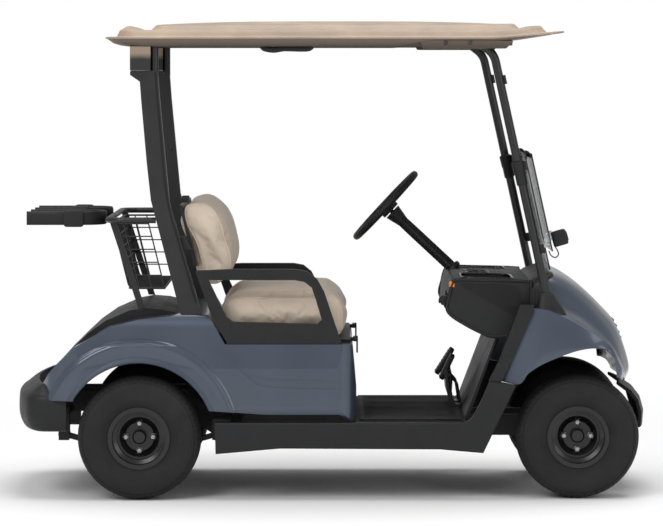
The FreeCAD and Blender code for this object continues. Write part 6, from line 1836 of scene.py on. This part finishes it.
@dataclass
class RoofSkin:
    """The roof as one moulded skin with the skirt, rails, brackets and handle under its lip.

    A ring is a rounded rectangle given as its rear, its front, its half width, its
    corner radius and its height, all in metres.
    """

    nose: float = 0.884
    bow: float = 0.030
    lift: float = 0.0255
    lip: float = 0.004
    terraces: tuple[tuple[float, ...], ...] = (
        (-0.8410, 0.8840, 0.5750, 0.090, 1.7195), (-0.8402, 0.8832, 0.5742, 0.089, 1.7213),
        (-0.8250, 0.8600, 0.5690, 0.086, 1.7232), (-0.8020, 0.8230, 0.5625, 0.082, 1.7240),
        (-0.7975, 0.8160, 0.5590, 0.078, 1.7265), (-0.7930, 0.8060, 0.5520, 0.074, 1.7360),
        (-0.7880, 0.7980, 0.5440, 0.068, 1.7448), (-0.7800, 0.7880, 0.5360, 0.062, 1.7474),
        (-0.7300, 0.7550, 0.5240, 0.056, 1.7482), (-0.6740, 0.7160, 0.5140, 0.052, 1.7490),
        (-0.6680, 0.7090, 0.5080, 0.050, 1.7512), (-0.6610, 0.7000, 0.4980, 0.048, 1.7590),
        (-0.6540, 0.6920, 0.4870, 0.046, 1.7655), (-0.6440, 0.6820, 0.4760, 0.044, 1.7682),
        (-0.6000, 0.6400, 0.4400, 0.060, 1.7712), (-0.5000, 0.5400, 0.3700, 0.090, 1.7770),
        (-0.3400, 0.3800, 0.2500, 0.110, 1.7825), (-0.1500, 0.1900, 0.1200, 0.080, 1.7850),
        (-0.0100, 0.0300, 0.0080, 0.006, 1.7858),
    )
    skirt: tuple[tuple[float, ...], ...] = (
        (-0.8400, 0.8825, 0.5740, 0.089, 1.7190), (-0.8350, 0.8740, 0.5728, 0.088, 1.7150),
        (-0.8200, 0.8350, 0.5705, 0.086, 1.7045), (-0.8100, 0.7900, 0.5680, 0.084, 1.6978),
        (-0.7850, 0.7350, 0.5635, 0.080, 1.6905), (-0.7600, 0.7000, 0.5600, 0.074, 1.6870),
        (-0.7520, 0.6900, 0.5550, 0.070, 1.6866), (-0.7500, 0.6880, 0.5530, 0.068, 1.6890),
        (-0.7780, 0.7300, 0.5570, 0.072, 1.6965), (-0.8040, 0.7850, 0.5620, 0.080, 1.7040),
        (-0.8260, 0.8650, 0.5680, 0.084, 1.7130), (-0.8320, 0.8740, 0.5700, 0.086, 1.7170),
    )
    bracket: Outline = (
        (0.3290, 1.7075), (0.3277, 1.7050), (0.3400, 1.6815), (0.3445, 1.6790),
        (0.6450, 1.6790), (0.6495, 1.6815), (0.6725, 1.7050), (0.6712, 1.7075),
    )
    handle: Outline = (
        (-0.258, 1.689), (-0.247, 1.679), (-0.214, 1.674), (-0.180, 1.679),
        (-0.150, 1.679), (-0.108, 1.678), (-0.084, 1.680), (-0.072, 1.689),
    )

    @staticmethod
    def outlines(rings: np.ndarray, arc: int = 13, run: int = 44) -> np.ndarray:
        """Rounded rectangles: four quarter circles of the corner radius, joined by straight runs.

        Args:
            rings: Rear, front, half width, corner radius and height, one ring a row.
            arc: Points on each corner.
            run: Points on each straight run, its ends left out.

        Returns:
            The grid of points, a ring to a row.
        """
        rear, front, half, radius, height = (rings[:, column, None] for column in range(5))
        quarter = np.linspace(0.0, np.pi / 2, arc)[None, :]
        corners = []
        for step, (ahead, left) in enumerate(((1, 1), (0, 1), (0, -1), (1, -1))):
            turn = quarter + step * np.pi / 2
            x = (front - radius if ahead else rear + radius) + radius * np.cos(turn)
            y = left * (half - radius) + radius * np.sin(turn)
            corners.append(np.stack([x, y], axis=-1))
        share = np.linspace(0.0, 1.0, run + 2)[None, 1:-1, None]
        plan = []
        for step in range(4):
            start, end = corners[step][:, -1:], corners[(step + 1) % 4][:, :1]
            plan += [corners[step], start + (end - start) * share]
        flat = np.concatenate(plan, axis=1)
        level = np.broadcast_to(height[..., None], (*flat.shape[:2], 1))
        return np.concatenate([flat, level], axis=-1)

    def sweep_up(self, grid: Grid) -> Grid:
        """Bows the front edge back by bow * (y/h)^2 and lifts the nose by 25.5 mm * s^1.3.

        Here h is the half width and s the share of the way from x = 0.60 to the nose.

        Args:
            grid: The points of a flat roof.

        Returns:
            The bowed and lifted points.
        """
        x, y, z = grid[..., 0], grid[..., 1], grid[..., 2]
        x = x - self.bow * (y / 0.575) ** 2 * np.clip(x / self.nose, 0.0, 1.0) ** 2
        lift = self.lift * ramp(x, 0.60, self.nose - 0.60) ** 1.3
        return np.stack([x, y, z + lift], axis=-1)

    def top(self) -> Grid:
        """The skin's upper side: the terraces, with a low hump across the rear and the front ledge.

        The rear hump is 18 mm * exp(-(d/a)^2) across the roof, a = 20 mm behind its top
        and 34 mm ahead of it, and fades near the sides as exp(-(y/0.47)^10).

        Returns:
            The grid, a ring to a row.
        """
        grid = self.sweep_up(self.outlines(flow(np.array(self.terraces), 73)))
        x, y = grid[..., 0], grid[..., 1]
        away = x + 0.762
        rear = 0.018 * np.exp(-((away / np.where(away < 0, 0.020, 0.034)) ** 2) - (y / 0.47) ** 10)
        front = 0.006 * np.exp(-(((x - 0.758) / 0.038) ** 4) - (y / 0.36) ** 8)
        grid[..., 2] += rear + front
        return grid

    def build(self, workshop: Workshop) -> None:
        """Makes the skin, then what hangs under its lip.

        The skirt's foot rises by 19 mm * s^2 (3 - 2s), with s from 0 at x = 0.24 to 1 at 0.40.

        Args:
            workshop: Makes the pieces.
        """
        top = self.top()
        under = top[::-1] - [0.0, 0.0, self.lip]
        shell = np.concatenate([under, top])
        skin = workshop.grids("roof_skin", [shell], Finish.ROOF, "roof_plastic", sharp=60.0)
        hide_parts("roof")
        rings = np.array(self.skirt)
        wall = self.sweep_up(self.outlines(rings))
        step = ramp(wall[..., 0], 0.24, 0.16)
        wall[..., 2] += 0.019 * step**2 * (3 - 2 * step) * ramp(1.7190 - rings[:, None, 4], 0.0, 0.032)
        # The skirt under the lip wears the darkened tan: painted shade.
        workshop.grids("roof_skirt", [wall], Finish.ROOF_TAN_PAINTED_SHADE, "roof_plastic", closed=True, sharp=35.0)
        self.hang_brackets(workshop)

    def hang_brackets(self, workshop: Workshop) -> None:
        """Makes the rails, the front brackets with slanted ends, and the low grab handle.

        Args:
            workshop: Makes the pieces.
        """
        plan = np.array(self.bracket)
        middle = plan.mean(axis=0)
        faces = ((0.5000, 1.0), (0.5628, 1.0), (0.5645, 0.985))
        bracket = np.stack([stood(middle + (plan - middle) * keep, y) for y, keep in faces])
        rail = pillow_box((-0.7470, 0.5040, 1.6880), (0.6730, 0.5520, 1.7180), 16.0, 15, 28)
        parts = [bracket, mirrored(bracket), rail, mirrored(rail)]
        # The rails and brackets under the lip wear the darkened tan: painted shade.
        piece = workshop.grids("roof_brackets", parts, Finish.ROOF_TAN_PAINTED_SHADE, "roof_plastic", sharp=25.0)
        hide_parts("roof_rails")
        line = stood(flow(np.array(self.handle), 60), -0.528)
        bar = sweep(line, band(0.022, 0.018, 20), up=ACROSS)
        grip = workshop.grids("handle_bar", [bar], Finish.GRIP, "grip")
        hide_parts("grab_handle")


@dataclass
class StrutLines:
    """Near-black strips of painted shade along the rear struts' grooves, and the front struts' tubes with
    their clamping sleeves.
    """

    groove: Outline = (
        (-0.653, 1.592), (-0.647, 1.500), (-0.636, 1.377), (-0.618, 1.178), (-0.599, 1.065), (-0.579, 1.000),
        (-0.560, 0.930), (-0.540, 0.860), (-0.520, 0.790), (-0.504, 0.735),
    )
    tube: tuple[Point, ...] = ((0.8273, 0.520, 0.6421), (0.6040, 0.520, 1.6577), (0.5600, 0.520, 1.6920))
    sleeve: Span = (1.172, 1.262)
    knob: Outline = ((0.0, 0.004), (0.010, 0.009), (0.020, 0.009), (0.022, 0.005))

    def build(self, workshop: Workshop) -> None:
        """Makes the painted-shade groove strips, the tubes and the sleeves.

        Args:
            workshop: Makes the pieces.
        """
        # Each rear strut gets a thin near-black strip, a hair proud of its cover along the groove: painted
        # shade, not a cut groove.
        rail = stood(flow(np.array(self.groove), 80), 0.5499)
        strip = sweep(rail, band(0.0080, 0.0014, 12), up=ACROSS)
        workshop.grids("strut_groove_painted_shade_strips", [strip, mirrored(strip)], Finish.PAINTED_SHADE_BLACK, "black_plastic")
        tube = sweep(bends(np.array(self.tube), 0.030, 11), ring(0.016, 28), up=ACROSS)
        tubes = workshop.grids("front_tubes", [tube, mirrored(tube)], Finish.TUBE, "frame_paint")
        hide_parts("front_struts")
        start, end = (np.array([strut_x(z), 0.520, z]) for z in self.sleeve)
        axis = unit(end - start)
        long = float(np.linalg.norm(end - start))
        profile = [
            (0.0, 0.0165), (0.001, 0.0195), (0.006, 0.0205), (long * 0.45, 0.0205),
            (long * 0.5, 0.0225), (long - 0.004, 0.0235), (long, 0.0165),
        ]
        sleeve = lathe(profile, tuple(start), tuple(axis), 28)
        knob = lathe(self.knob, tuple((start + end) / 2 + axis * 0.02), (0.0, 1.0, 0.15), 12)
        parts = [sleeve, mirrored(sleeve), knob, mirrored(knob)]
        workshop.grids("strut_sleeves", parts, Finish.BLACK_PLASTIC, "black_plastic")


def dress_nodes(frame: dict, wardrobe: Wardrobe) -> None:
    """Puts each CAD node's finish on it by its record slot.

    Args:
        wardrobe: The finishes.
    """
    for entry in frame["record"]["subparts"]:
        wardrobe.wear(frame["nodes"][entry["node"]], SLOT_FINISH[entry["material_slot"]])
    for node, finish in (("windshield_upper", Finish.SMOKED), ("strut_caps", Finish.DRAIN)):
        wardrobe.wear(frame["nodes"][node], finish)


SUB_ASSEMBLIES = (
    Tyres, WheelFittings, Bench, WireBasket, BagRests, StrutTrim, FloorMat, Cowl, ScreenBase, DashTrim,
    PedalPads, ColumnRibs, SensorKit, ArchFlares, RearBumper, RoofTrim, RoofSkin, StrutLines,
)


def main() -> None:
    """Builds the stage and dresses each sub-assembly in order."""
    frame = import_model()
    Studio().build()
    wardrobe = Wardrobe()
    dress_nodes(frame, wardrobe)
    log.info("dressed %d nodes", len(frame["nodes"]))
    workshop = Workshop(wardrobe)
    for kind in SUB_ASSEMBLIES:
        kind().build(workshop)


if __name__ == "__main__":
    main()
